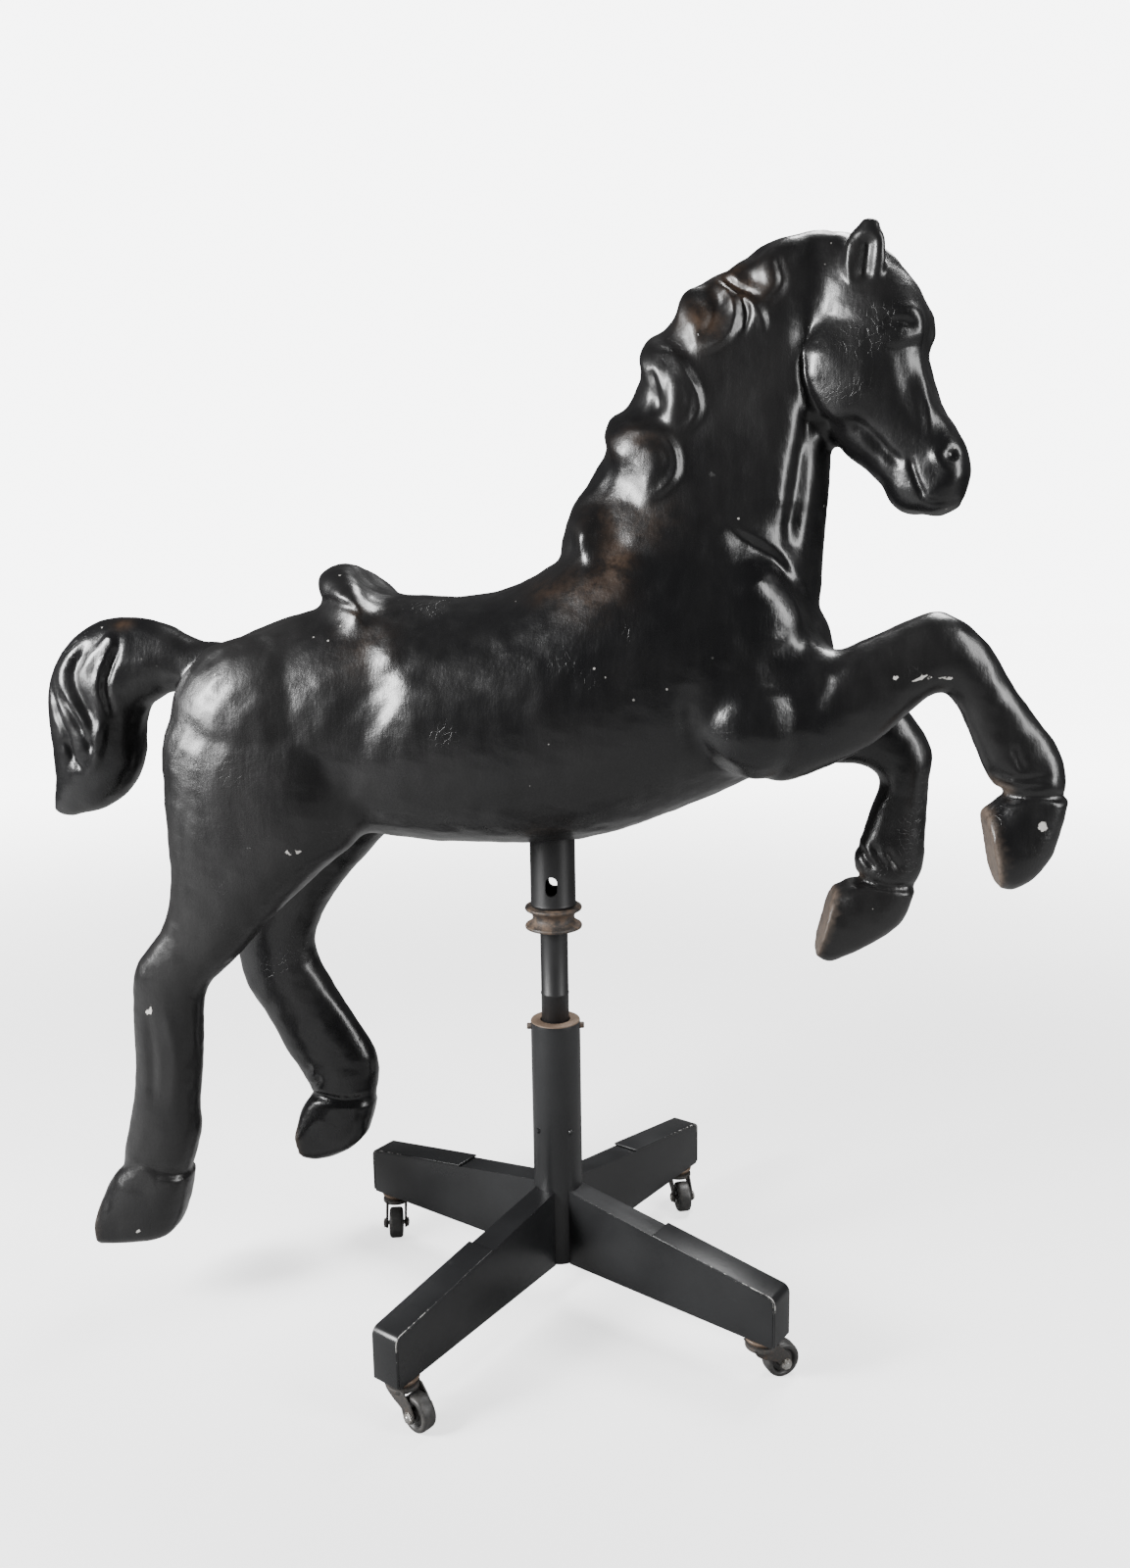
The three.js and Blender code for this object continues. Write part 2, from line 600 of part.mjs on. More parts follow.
/** The strap that lies on the outer half of an arm and turns down over its end. */
function strap() {
  const { start, thickness, bottom } = STRAP;
  const top = armAt(start).top + GAP;
  const corners = [
    [start, top],
    [start, top + thickness],
    ...endBend(0),
    [ARM.endRadius, bottom],
    [ARM.endRadius - thickness, bottom],
    ...endBend(thickness).reverse(),
  ];
  return drawnAcross(corners, ARM.endHalfWidth + 0.4);
}

const armYawAt = (quarter) => ARM.yaw + (360 / SIDES.length) * quarter;

function armPieces() {
  return SIDES.map((side, quarter) => {
    const group = new THREE.Group();
    group.rotation.z = radians(armYawAt(quarter));
    return group.add(piece("arm_" + side, arm(), greySteel), piece("strap_" + side, strap(), greySteel));
  });
}

// ---------------------------------------------------------------- a caster, its swivel axis at the origin
function casterBearing() {
  const { bearingRadius: r, plateTop, plateThickness, pinRadius } = CASTER;
  const top = ARM.endBottom + DATUM - GAP;
  const cup = [
    [0.001, plateTop + GAP],
    [r - 5, plateTop + GAP],
    [r - 1.5, plateTop + 2.5],
    [r, plateTop + 4],
    [r, top - 2],
    [r - 2, top],
    [0.001, top],
  ];
  const pin = uprightCylinder(pinRadius, plateTop - plateThickness - 2.5, plateTop + 2, { sides: 8 });
  const head = uprightCylinder(pinRadius + 2.5, plateTop - plateThickness - 3.5, plateTop - plateThickness - GAP, { sides: 8 });
  return turnedSolid(cup, 12).add(solid(pin)).add(solid(head));
}

function casterFork() {
  const { plateTop, plateThickness, plateRadius, legThickness, legInner, trail, wheelRadius, axleRadius, pinRadius } = CASTER;
  const plate = uprightCylinder(plateRadius, plateTop - plateThickness, plateTop, { sides: 12 });
  const outline = new THREE.Shape();
  outline.moveTo(-12, plateTop - 0.5);
  outline.lineTo(12, plateTop - 0.5);
  outline.quadraticCurveTo(trail, 38, trail + 7, wheelRadius + 2);
  outline.absarc(trail, wheelRadius, 7, 0, -Math.PI, true);
  outline.quadraticCurveTo(8, 34, -12, plateTop - 7);
  outline.closePath();
  const leg = (side) => {
    const sheet = new THREE.ExtrudeGeometry(outline, { depth: legThickness, bevelEnabled: false, curveSegments: 3 });
    const from = side > 0 ? -legInner - legThickness : legInner;
    return sheet.rotateX(Math.PI / 2).translate(0, from + legThickness, 0);
  };
  const holes = [
    uprightCylinder(pinRadius + GAP, plateTop - 20, plateTop + 5, { sides: 8 }),
    new THREE.CylinderGeometry(axleRadius + GAP, axleRadius + GAP, 60, 8).translate(trail, 0, wheelRadius),
  ];
  const body = join([plate, leg(1), leg(-1)]);
  return holes.reduce((whole, hole) => whole.subtract(solid(hole)), body);
}

function casterAxle() {
  const { axleRadius, trail, wheelRadius, legInner, legThickness } = CASTER;
  const outside = legInner + legThickness + GAP;
  const nutHeight = 2.8;
  const shank = new THREE.CylinderGeometry(axleRadius, axleRadius, 2 * outside + 1, 8);
  const nut = (side) => new THREE.CylinderGeometry(6, 6, nutHeight, 6).translate(0, side * (outside + nutHeight / 2), 0);
  return join([shank, nut(1), nut(-1)]).translate([trail, 0, wheelRadius]);
}

function casterWheel() {
  const { wheelRadius: r, wheelHalfWidth: half, axleRadius, trail } = CASTER;
  const bore = axleRadius + GAP;
  const corners = [
    [bore, -half + 1],
    [13, -half + 3],
    [15, -half],
    [r - 2, -half],
    [r, 2 - half],
    [r, half - 2],
    [r - 2, half],
    [15, half],
    [13, half - 3],
    [bore, half - 1],
  ];
  const closed = [...corners, corners[0]].map(([radius, along]) => new THREE.Vector2(radius, along));
  const ring = flippedBare(new THREE.LatheGeometry(closed, 15));
  return ring.translate(trail, 0, r);
}

function casterPieces(side, quarter) {
  const armYaw = radians(armYawAt(quarter));
  const group = new THREE.Group();
  group.position.set(CASTER.stemRadiusAt * Math.cos(armYaw), CASTER.stemRadiusAt * Math.sin(armYaw), 0);
  group.rotation.z = radians(CASTER_YAWS[side]);
  group.add(
    piece("caster_bearing_" + side, casterBearing(), greySteel),
    piece("caster_fork_" + side, casterFork(), greySteel),
    piece("caster_axle_" + side, casterAxle(), brightSteel),
    piece("caster_wheel_" + side, casterWheel(), wheelPlastic),
  );
  return group;
}

// ---------------------------------------------------------------- the whole
const carouselHorse = new THREE.Group();
const drawnFromDatum = new THREE.Group();
drawnFromDatum.position.z = DATUM;
drawnFromDatum.add(piece("horse", horse(), blackPaint), ...polePieces(), ...armPieces());
carouselHorse.add(drawnFromDatum, ...SIDES.map(casterPieces));

// The origin is under the middle of the whole object's box, on the floor.
carouselHorse.updateMatrixWorld(true);
const extent = new THREE.Box3().setFromObject(carouselHorse);
carouselHorse.position.set(-(extent.min.x + extent.max.x) / 2, -(extent.min.y + extent.max.y) / 2, 0);
carouselHorse.updateMatrixWorld(true);

export default carouselHorse;
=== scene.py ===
"""A carousel jumper horse in black brushed enamel, on a pole and a four-armed rolling stand.

The horse is one sculpted skin. Its body, neck, head and legs are lofted from ribs, its mane, tail, ears
and saddle ridge from beads, all are run together into one surface, the hollows where they meet are
filled, and the carving is pressed into it along named lines. The stand is turned, folded and extruded
metal. Lengths in the classes are millimetres from the column's axis; the meshes are metres.
"""

from __future__ import annotations

import logging
import math
from dataclasses import dataclass, field
from enum import Enum

import bmesh
import bpy
import numpy as np
from mathutils import Matrix, Vector


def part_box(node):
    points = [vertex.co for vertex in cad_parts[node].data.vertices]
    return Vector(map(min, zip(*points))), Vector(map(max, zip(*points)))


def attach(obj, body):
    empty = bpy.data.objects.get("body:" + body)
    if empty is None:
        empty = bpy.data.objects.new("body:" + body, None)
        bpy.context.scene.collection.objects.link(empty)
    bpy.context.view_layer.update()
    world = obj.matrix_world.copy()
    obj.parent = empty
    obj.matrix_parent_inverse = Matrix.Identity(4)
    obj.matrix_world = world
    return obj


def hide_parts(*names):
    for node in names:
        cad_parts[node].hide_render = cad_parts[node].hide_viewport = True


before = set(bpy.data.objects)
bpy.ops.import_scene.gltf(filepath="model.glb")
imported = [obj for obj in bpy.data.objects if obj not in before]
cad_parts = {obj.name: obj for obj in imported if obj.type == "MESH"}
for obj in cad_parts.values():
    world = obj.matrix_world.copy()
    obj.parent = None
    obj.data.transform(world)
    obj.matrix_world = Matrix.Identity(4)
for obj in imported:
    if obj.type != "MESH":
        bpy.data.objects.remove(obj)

LOG = logging.getLogger("carousel_horse")
MM = 0.001
DATUM = -14.0  # the horse, the pole and the arms are drawn from a level this far from the floor
UPRIGHT = Matrix.Rotation(math.pi / 2, 4, "X")  # stands a flat outline up
HEAD_TURN = math.radians(24.0)  # the head is turned to the horse's right
HEAD_PIVOT = 300.0  # about an upright axis this far along the body
ROOT = "horse_and_stand"
SIDES = ("left_front", "left_rear", "right_rear", "right_front")  # the arms, straps and casters
SPAN = 8  # sections that each span between ribs or beads becomes
LIMB_SIDES = 56  # corners to a limb's section
LOCK_SIDES = 28  # corners to a lock's or an egg's section
REACH = 3.2  # widths beyond which a stroke isn't felt
FADE = 0.18  # share of a stroke's length over which each of its ends fades

Pair = tuple[float, float]
Triple = tuple[float, float, float]
Sizes = tuple[float, ...]
Line = tuple[Pair, ...]
Rows = tuple[Sizes, ...]
Socket = bpy.types.NodeSocket


class Side(Enum):
    """Which side of the horse a mark is on."""

    RIGHT = -1
    LEFT = 1
    BOTH = 0


class Part(Enum):
    """Whose own plane a mark is drawn in."""

    BODY = "body"
    HEAD = "head"


# ---------------------------------------------------------------- surfaces
@dataclass
class Surface:
    """A mesh as arrays: corners (n, 3), four-sided faces (q, 4) and three-sided faces (t, 3)."""

    corners: np.ndarray
    quads: np.ndarray
    triangles: np.ndarray = field(default_factory=lambda: np.zeros((0, 3), int))

    def volume(self) -> float:
        """The enclosed volume: the sum over the triangles of a . (b x c) / 6.

        Returns:
            The volume, below zero where the faces point inwards.
        """
        fans = np.vstack([self.quads[:, [0, 1, 2]], self.quads[:, [0, 2, 3]], self.triangles])
        a, b, c = (self.corners[fans[:, k]] for k in range(3))
        return float(np.einsum("ij,ij->i", a, np.cross(b, c)).sum() / 6.0)

    def outward(self) -> Surface:
        """The same surface with its faces pointing out.

        Returns:
            The surface, turned over if it was inside out.
        """
        if self.volume() >= 0:
            return self
        return Surface(self.corners, self.quads[:, ::-1].copy(), self.triangles[:, ::-1].copy())

    def placed(self, matrix: Matrix) -> Surface:
        """The surface carried by a 4 x 4 matrix."""
        m = np.array(matrix, float)
        return Surface(self.corners @ m[:3, :3].T + m[:3, 3], self.quads, self.triangles)


def together(surfaces: list[Surface]) -> Surface:
    """Several surfaces as one mesh.

    Args:
        surfaces: the surfaces to gather.

    Returns:
        One surface with all their corners and faces.
    """
    starts = np.cumsum([0] + [len(s.corners) for s in surfaces[:-1]])
    return Surface(
        np.vstack([s.corners for s in surfaces]),
        np.vstack([s.quads.reshape(-1, 4) + at for s, at in zip(surfaces, starts)]).astype(int),
        np.vstack([s.triangles.reshape(-1, 3) + at for s, at in zip(surfaces, starts)]).astype(int),
    )


def mesh_of(surface: Surface, name: str) -> bpy.types.Mesh:
    """A Blender mesh of a surface.

    Args:
        surface: the arrays.
        name: the mesh's name.

    Returns:
        The mesh, filled in one go.
    """
    mesh = bpy.data.meshes.new(name)
    q, t = len(surface.quads), len(surface.triangles)
    loops = np.concatenate([surface.quads.ravel(), surface.triangles.ravel()]).astype(np.int32)
    starts = np.concatenate([np.arange(q) * 4, 4 * q + np.arange(t) * 3]).astype(np.int32)
    mesh.vertices.add(len(surface.corners))
    mesh.vertices.foreach_set("co", surface.corners.astype(np.float32).ravel())
    mesh.loops.add(len(loops))
    mesh.loops.foreach_set("vertex_index", loops)
    mesh.polygons.add(q + t)
    mesh.polygons.foreach_set("loop_start", starts)
    mesh.update(calc_edges=True)
    mesh.validate()
    return mesh


def surface_of(mesh: bpy.types.Mesh) -> Surface:
    """The arrays of a mesh of four-sided and three-sided faces.

    Args:
        mesh: the Blender mesh.

    Returns:
        Its corners and faces.
    """
    corners = np.zeros(len(mesh.vertices) * 3, np.float32)
    mesh.vertices.foreach_get("co", corners)
    loops = np.zeros(len(mesh.loops), np.int32)
    mesh.loops.foreach_get("vertex_index", loops)
    starts = np.zeros(len(mesh.polygons), np.int32)
    totals = np.zeros(len(mesh.polygons), np.int32)
    mesh.polygons.foreach_get("loop_start", starts)
    mesh.polygons.foreach_get("loop_total", totals)
    four, three = starts[totals == 4], starts[totals == 3]
    return Surface(
        corners.reshape(-1, 3).astype(float),
        loops[four[:, None] + np.arange(4)].astype(int),
        loops[three[:, None] + np.arange(3)].astype(int),
    )


def linked(name: str, data: bpy.types.ID) -> bpy.types.Object:
    """A new object in the scene.

    Args:
        name: the object's name.
        data: its mesh, camera or light.

    Returns:
        The object, at the origin.
    """
    thing = bpy.data.objects.new(name, data)
    bpy.context.collection.objects.link(thing)
    return thing


def modified(surface: Surface, kind: str, **settings: object) -> Surface:
    """A surface after one of Blender's modifiers.

    Args:
        surface: what goes in.
        kind: the modifier's type.
        settings: its settings.

    Returns:
        What comes out.
    """
    thing = linked("clay", mesh_of(surface, "clay"))
    modifier = thing.modifiers.new(kind, kind)
    for key, value in settings.items():
        setattr(modifier, key, value)
    graph = bpy.context.evaluated_depsgraph_get()
    mesh = bpy.data.meshes.new_from_object(thing.evaluated_get(graph))
    out = surface_of(mesh)
    bpy.data.meshes.remove(mesh)
    bpy.data.objects.remove(thing)
    return out


def smooth_rows(rows: np.ndarray, steps: int) -> np.ndarray:
    """Rows run through by a smooth curve.

    Between rows 1 and 2 of four, at a share t of the way, each number is half of
    2*p1 + (p2 - p0)*t + (2*p0 - 5*p1 + 4*p2 - p3)*t^2 + (3*p1 - p0 - 3*p2 + p3)*t^3.

    Args:
        rows: the rows (n, k) to pass through.
        steps: how many rows each span becomes.

    Returns:
        The finer rows, the last one included.
    """
    padded = np.vstack([rows[:1], rows, rows[-1:]])
    p0, p1, p2, p3 = (padded[k : len(padded) - 3 + k, None, :] for k in range(4))
    t = (np.arange(steps) / steps)[None, :, None]
    spans = 0.5 * (2 * p1 + (p2 - p0) * t + (2 * p0 - 5 * p1 + 4 * p2 - p3) * t**2
                   + (3 * p1 - p0 - 3 * p2 + p3) * t**3)
    return np.vstack([spans.reshape(-1, rows.shape[1]), rows[-1:]])


def skin(rings: np.ndarray, start: np.ndarray, end: np.ndarray) -> Surface:
    """A closed surface over rings of corners, drawn to a point at each end.

    Args:
        rings: corners (r, s, 3), each ring in the same order.
        start: the point before the first ring.
        end: the point after the last ring.

    Returns:
        The surface, faces outwards.
    """
    r, s, _ = rings.shape
    here, after = np.arange(s), (np.arange(s) + 1) % s
    row = (np.arange(r - 1) * s)[:, None]
    quads = np.stack([row + here, row + after, row + s + after, row + s + here], -1).reshape(-1, 4)
    first, last = r * s, (r - 1) * s
    fans = np.vstack(
        [
            np.stack([np.full(s, first), after, here], -1),
            np.stack([np.full(s, first + 1), last + here, last + after], -1),
        ]
    )
    return Surface(np.vstack([rings.reshape(-1, 3), start, end]), quads, fans).outward()


def loft(
    centres: np.ndarray, along: np.ndarray, across: np.ndarray, sides: int, squareness: float, cap: Rows
) -> Surface:
    """A closed limb over sections with a rounded end at both ends.

    A section's corner at an angle a is centre + c(cos a)*along + c(sin a)*across, where c keeps the sign
    and takes the size to the power 2/squareness. Towards an end the section shrinks as a cosine while it
    moves outwards as a sine, to the end's own length.

    Args:
        centres: the sections' middles (n, 3).
        along: their first half axes (n, 3).
        across: their second half axes (n, 3).
        sides: corners to a section.
        squareness: 2 for an ellipse, more for a squarer section.
        cap: the lengths of the two rounded ends.

    Returns:
        The limb's surface.
    """
    angle = 2 * np.pi * np.arange(sides) / sides

    def bowed(values: np.ndarray) -> np.ndarray:
        """Values drawn towards 1 with their signs kept."""
        return np.sign(values) * np.abs(values) ** (2 / squareness)

    c, s = bowed(np.cos(angle))[None, :, None], bowed(np.sin(angle))[None, :, None]
    rings = centres[:, None] + c * along[:, None] + s * across[:, None]
    turn = np.linspace(0, np.pi / 2, 7)[1:-1]

    def end(at: int, inner: int, length: float) -> tuple[np.ndarray, np.ndarray]:
        """The rings that round off one end.

        Args:
            at: the end section.
            inner: the section next to it.
            length: how far the end reaches beyond it.

        Returns:
            The rings from the section outwards, and the point that they end in.
        """
        way = centres[at] - centres[inner]
        way = way / np.linalg.norm(way) * length
        shrunk = rings[at][None] - centres[at]
        out = centres[at] + shrunk * np.cos(turn)[:, None, None] + way * np.sin(turn)[:, None, None]
        return out, centres[at] + way

    head, start = end(0, 1, cap[0])
    tail, finish = end(-1, -2, cap[1])
    return skin(np.vstack([head[::-1], rings, tail]), start, finish)


def limb(ribs: Rows, squareness: float = 2.2, cap: Pair = (0.5, 0.5)) -> Surface:
    """A limb from ribs of (front x, front z, back x, back z, y, half width).

    Args:
        ribs: the sections, whose front and back lie on the limb's outline.
        squareness: 2 for elliptic sections.
        cap: how far the ends are drawn out, as a share of the end section's half depth.

    Returns:
        The limb's surface.
    """
    rows = smooth_rows(np.array(ribs, float), SPAN)
    nought = np.zeros(len(rows))
    centres = np.stack([(rows[:, 0] + rows[:, 2]) / 2, rows[:, 4], (rows[:, 1] + rows[:, 3]) / 2], -1)
    along = np.stack([(rows[:, 0] - rows[:, 2]) / 2, nought, (rows[:, 1] - rows[:, 3]) / 2], -1)
    across = np.stack([nought, rows[:, 5], nought], -1)
    ends = [float(np.linalg.norm(along[k])) * cap[j] for j, k in enumerate((0, -1))]
    return loft(centres, along, across, LIMB_SIDES, squareness, ends)


def lock(beads: Rows, lean: Triple = (0, -1, 0)) -> Surface:
    """A lock of hair, an ear or a ridge from beads of (x, y, z, thickness, width), both half sizes.

    Args:
        beads: the middles and sizes along the lock.
        lean: the way that the thickness is measured in.

    Returns:
        The lock's surface.
    """
    rows = smooth_rows(np.array(beads, float), SPAN)
    centres = rows[:, :3]
    way = np.gradient(centres, axis=0)
    way /= np.linalg.norm(way, axis=1)[:, None]
    across = np.cross(way, np.array(lean, float))
    across /= np.linalg.norm(across, axis=1)[:, None]
    out = np.cross(across, way)
    ends = [0.9 * float(min(rows[k, 3:5])) for k in (0, -1)]
    return loft(centres, out * rows[:, 3:4], across * rows[:, 4:5], LOCK_SIDES, 2.0, ends)


def mirrored(beads: Rows) -> Rows:
    """The same beads on the other side of the body."""
    return tuple((x, -y, z, *sizes) for x, y, z, *sizes in beads)


def ball(centre: Sizes, size: Sizes, tilt: float = 0.0) -> Surface:
    """An egg: rings whose half sizes are those of the egg times the root of 1 - height^2.

    Args:
        centre: its middle.
        size: its three half sizes.
        tilt: its lean in the body's own plane, in degrees.

    Returns:
        The egg's surface.
    """
    rows = np.linspace(-0.9, 0.9, 13)
    nought = np.zeros(len(rows))
    round_off = np.sqrt(1 - rows**2)
    centres = np.stack([nought, nought, rows * size[2]], -1)
    along = np.stack([round_off * size[0], nought, nought], -1)
    across = np.stack([nought, round_off * size[1], nought], -1)
    egg = loft(centres, along, across, LOCK_SIDES, 2.0, (0.1 * size[2], 0.1 * size[2]))
    return egg.placed(Matrix.Translation(centre) @ Matrix.Rotation(math.radians(tilt), 4, "Y"))


def head_matrix() -> Matrix:
    """Carries the head's own frame into the body's: a turn about an upright axis at the poll."""
    return Matrix.Translation((HEAD_PIVOT, 0, 0)) @ Matrix.Rotation(-HEAD_TURN, 4, "Z")


# ---------------------------------------------------------------- the clay and its carving
class Clay:
    """A closed skin of small faces that can be filled, lumped and carved."""

    def __init__(self, surface: Surface) -> None:
        """Takes the surface and works out which corners are neighbours.

        Args:
            surface: a closed surface.
        """
        self.surface = surface
        self.points = surface.corners  # the surface's own corners, which all the work below moves
        ring = [surface.quads[:, [k, (k + 1) % 4]] for k in range(4)]
        ring += [surface.triangles[:, [k, (k + 1) % 3]] for k in range(3)]
        edges = np.unique(np.sort(np.vstack(ring), axis=1), axis=0)
        self.first, self.second = edges[:, 0], edges[:, 1]
        self.degree = np.bincount(edges.ravel(), minlength=len(self.points)).clip(1).astype(float)

    def around(self, values: np.ndarray) -> np.ndarray:
        """The mean of the neighbours' values at each corner.

        Args:
            values: one number or one row of numbers for each corner.

        Returns:
            The means, in the same layout.
        """
        if values.ndim > 1:
            return np.stack([self.around(values[:, k]) for k in range(values.shape[1])], -1)
        n = len(self.points)
        total = np.bincount(self.first, values[self.second], n)
        total += np.bincount(self.second, values[self.first], n)
        return total / self.degree

    def normals(self) -> np.ndarray:
        """The outward normals: the sum of the crossed diagonals of the faces at each corner.

        Returns:
            A unit row for each corner.
        """
        p, q, t = self.points, self.surface.quads, self.surface.triangles
        four = np.cross(p[q[:, 2]] - p[q[:, 0]], p[q[:, 3]] - p[q[:, 1]])
        three = np.cross(p[t[:, 1]] - p[t[:, 0]], p[t[:, 2]] - p[t[:, 0]])
        where = np.concatenate([q.ravel(), t.ravel()])
        what = np.vstack([np.repeat(four, 4, axis=0), np.repeat(three, 3, axis=0)])
        total = np.stack([np.bincount(where, what[:, k], len(p)) for k in range(3)], -1)
        return total / np.linalg.norm(total, axis=1).clip(1e-9)[:, None]

    def fill_hollows(self, rounds: int, shallow: float, deep: float, spread: int) -> None:
        """Fills the creases where two limbs meet and leaves rounded flesh alone.

        A corner whose neighbours stand proud of it by more than `shallow` is in a crease; the mark
        spreads over a few neighbours, and marked corners move towards their neighbours' mean.

        Args:
            rounds: how often the marked corners move.
            shallow: the depth in millimetres where a hollow begins.
            deep: the depth where it counts in full.
            spread: how many neighbours away the mark reaches.
        """
        proud = ((self.around(self.points) - self.points) * self.normals()).sum(1)
        mark = ((proud - shallow) / (deep - shallow)).clip(0, 1)
        for _ in range(spread):
            mark = np.maximum(mark, (1.5 * self.around(mark)).clip(0, 1))
        for _ in range(rounds):
            self.points += (0.6 * mark)[:, None] * (self.around(self.points) - self.points)

    def soften(self, rounds: int) -> None:
        """Takes the grain off the skin without shrinking it: a step in, then a slightly longer step out.

        Args:
            rounds: how often the two steps are taken.
        """
        for _ in range(rounds):
            for step in (0.5, -0.52):
                self.points += step * (self.around(self.points) - self.points)

    def lump(self, depth: float, shortest: float, longest: float, waves: int, seed: int) -> None:
        """Raises and sinks the skin by a sum of waves in all directions.

        Args:
            depth: the root mean square height.
            shortest: the shortest wavelength.
            longest: the longest wavelength.
            waves: how many waves are summed.
            seed: fixes their directions.
        """
        dice = np.random.default_rng(seed)
        ways = dice.normal(size=(waves, 3))
        ways /= np.linalg.norm(ways, axis=1)[:, None]
        lengths = np.exp(dice.uniform(math.log(shortest), math.log(longest), waves))
        phases = dice.uniform(0, 2 * np.pi, waves)
        height = np.zeros(len(self.points))
        for way, length, phase in zip(ways, lengths, phases):
            height += np.sin(self.points @ way * (2 * np.pi / length) + phase)
        self.points += self.normals() * (height * depth * math.sqrt(2 / waves))[:, None]

    def carve(self, marks: list[Stroke | Dab]) -> None:
        """Presses marks into the skin along its normals, all of them measured on the uncarved skin.

        Args:
            marks: the cuts, ridges, lumps and hollows.
        """
        height = np.zeros(len(self.points))
        inverse = np.array(head_matrix().inverted(), float)
        planes = {Part.BODY: self.points, Part.HEAD: self.points @ inverse[:3, :3].T + inverse[:3, 3]}
        for mark in marks:
            height += mark.height(planes[mark.part])
        self.points += self.normals() * height[:, None]


@dataclass(frozen=True)
class Stroke:
    """A cut or a ridge along a line in the body's or the head's upright plane.

    Its height at a distance d from the line is depth * exp(-(d/width)^2), fading over the line's ends.
    """

    line: Line
    width: float
    depth: float
    away: Pair  # sideways distances over which the mark comes in
    part: Part = Part.BODY
    side: Side = Side.BOTH
    step: float = 0.0  # above zero, the left of the line is raised and its right sunk over this distance

    def height(self, points: np.ndarray) -> np.ndarray:
        """How far the mark raises the skin.

        Args:
            points: the corners (n, 3) in the mark's own frame.

        Returns:
            A height for each corner, below zero in a cut.
        """
        line = smooth_rows(np.array(self.line, float), 4)
        reach = REACH * self.width
        low, high = line.min(0) - reach, line.max(0) + reach
        flat = points[:, [0, 2]]
        near = np.flatnonzero(((flat > low) & (flat < high)).all(1))
        out = np.zeros(len(points))
        if not len(near):
            return out
        flat = flat[near]
        gap = np.full(len(flat), 1e9)
        share, hand = np.zeros(len(flat)), np.zeros(len(flat))
        lengths = np.linalg.norm(np.diff(line, axis=0), axis=1)
        run = np.concatenate([[0], np.cumsum(lengths)])
        for a, b, length, start in zip(line[:-1], line[1:], lengths, run):
            way = (b - a) / length
            t = ((flat - a) @ way).clip(0, length)
            off = flat - a - t[:, None] * way
            d = np.linalg.norm(off, axis=1)
            closer = d < gap
            gap = np.where(closer, d, gap)
            share = np.where(closer, (start + t) / run[-1], share)
            hand = np.where(closer, way[0] * off[:, 1] - way[1] * off[:, 0], hand)
        fade = np.minimum(share, 1 - share).clip(0, FADE) / FADE
        value = self.depth * np.exp(-((gap / self.width) ** 2)) * (0.15 + 0.85 * fade)
        if self.step > 0:
            value *= np.tanh(hand / self.step)
        sideways = points[near, 1]
        sideways = np.abs(sideways) if self.side is Side.BOTH else sideways * self.side.value
        lo, hi = self.away
        out[near] = value * ((sideways - lo) / (hi - lo)).clip(0, 1)
        return out


@dataclass(frozen=True)
class Dab:
    """A lump or a hollow on both sides of the horse.

    Its height is depth * exp(-(the sum of the squared distances, each over its half size)).
    """

    centre: Triple
    size: Triple
    depth: float
    part: Part = Part.BODY

    def height(self, points: np.ndarray) -> np.ndarray:
        """How far the mark raises the skin.

        Args:
            points: the corners (n, 3) in the mark's own frame.

        Returns:
            A height for each corner, below zero in a cut.
        """
        x, y, z = self.centre
        total = np.zeros(len(points))
        for side in (-1, 1):
            off = (points - (x, side * y, z)) / self.size
            total += self.depth * np.exp(-(off**2).sum(1))
        return total


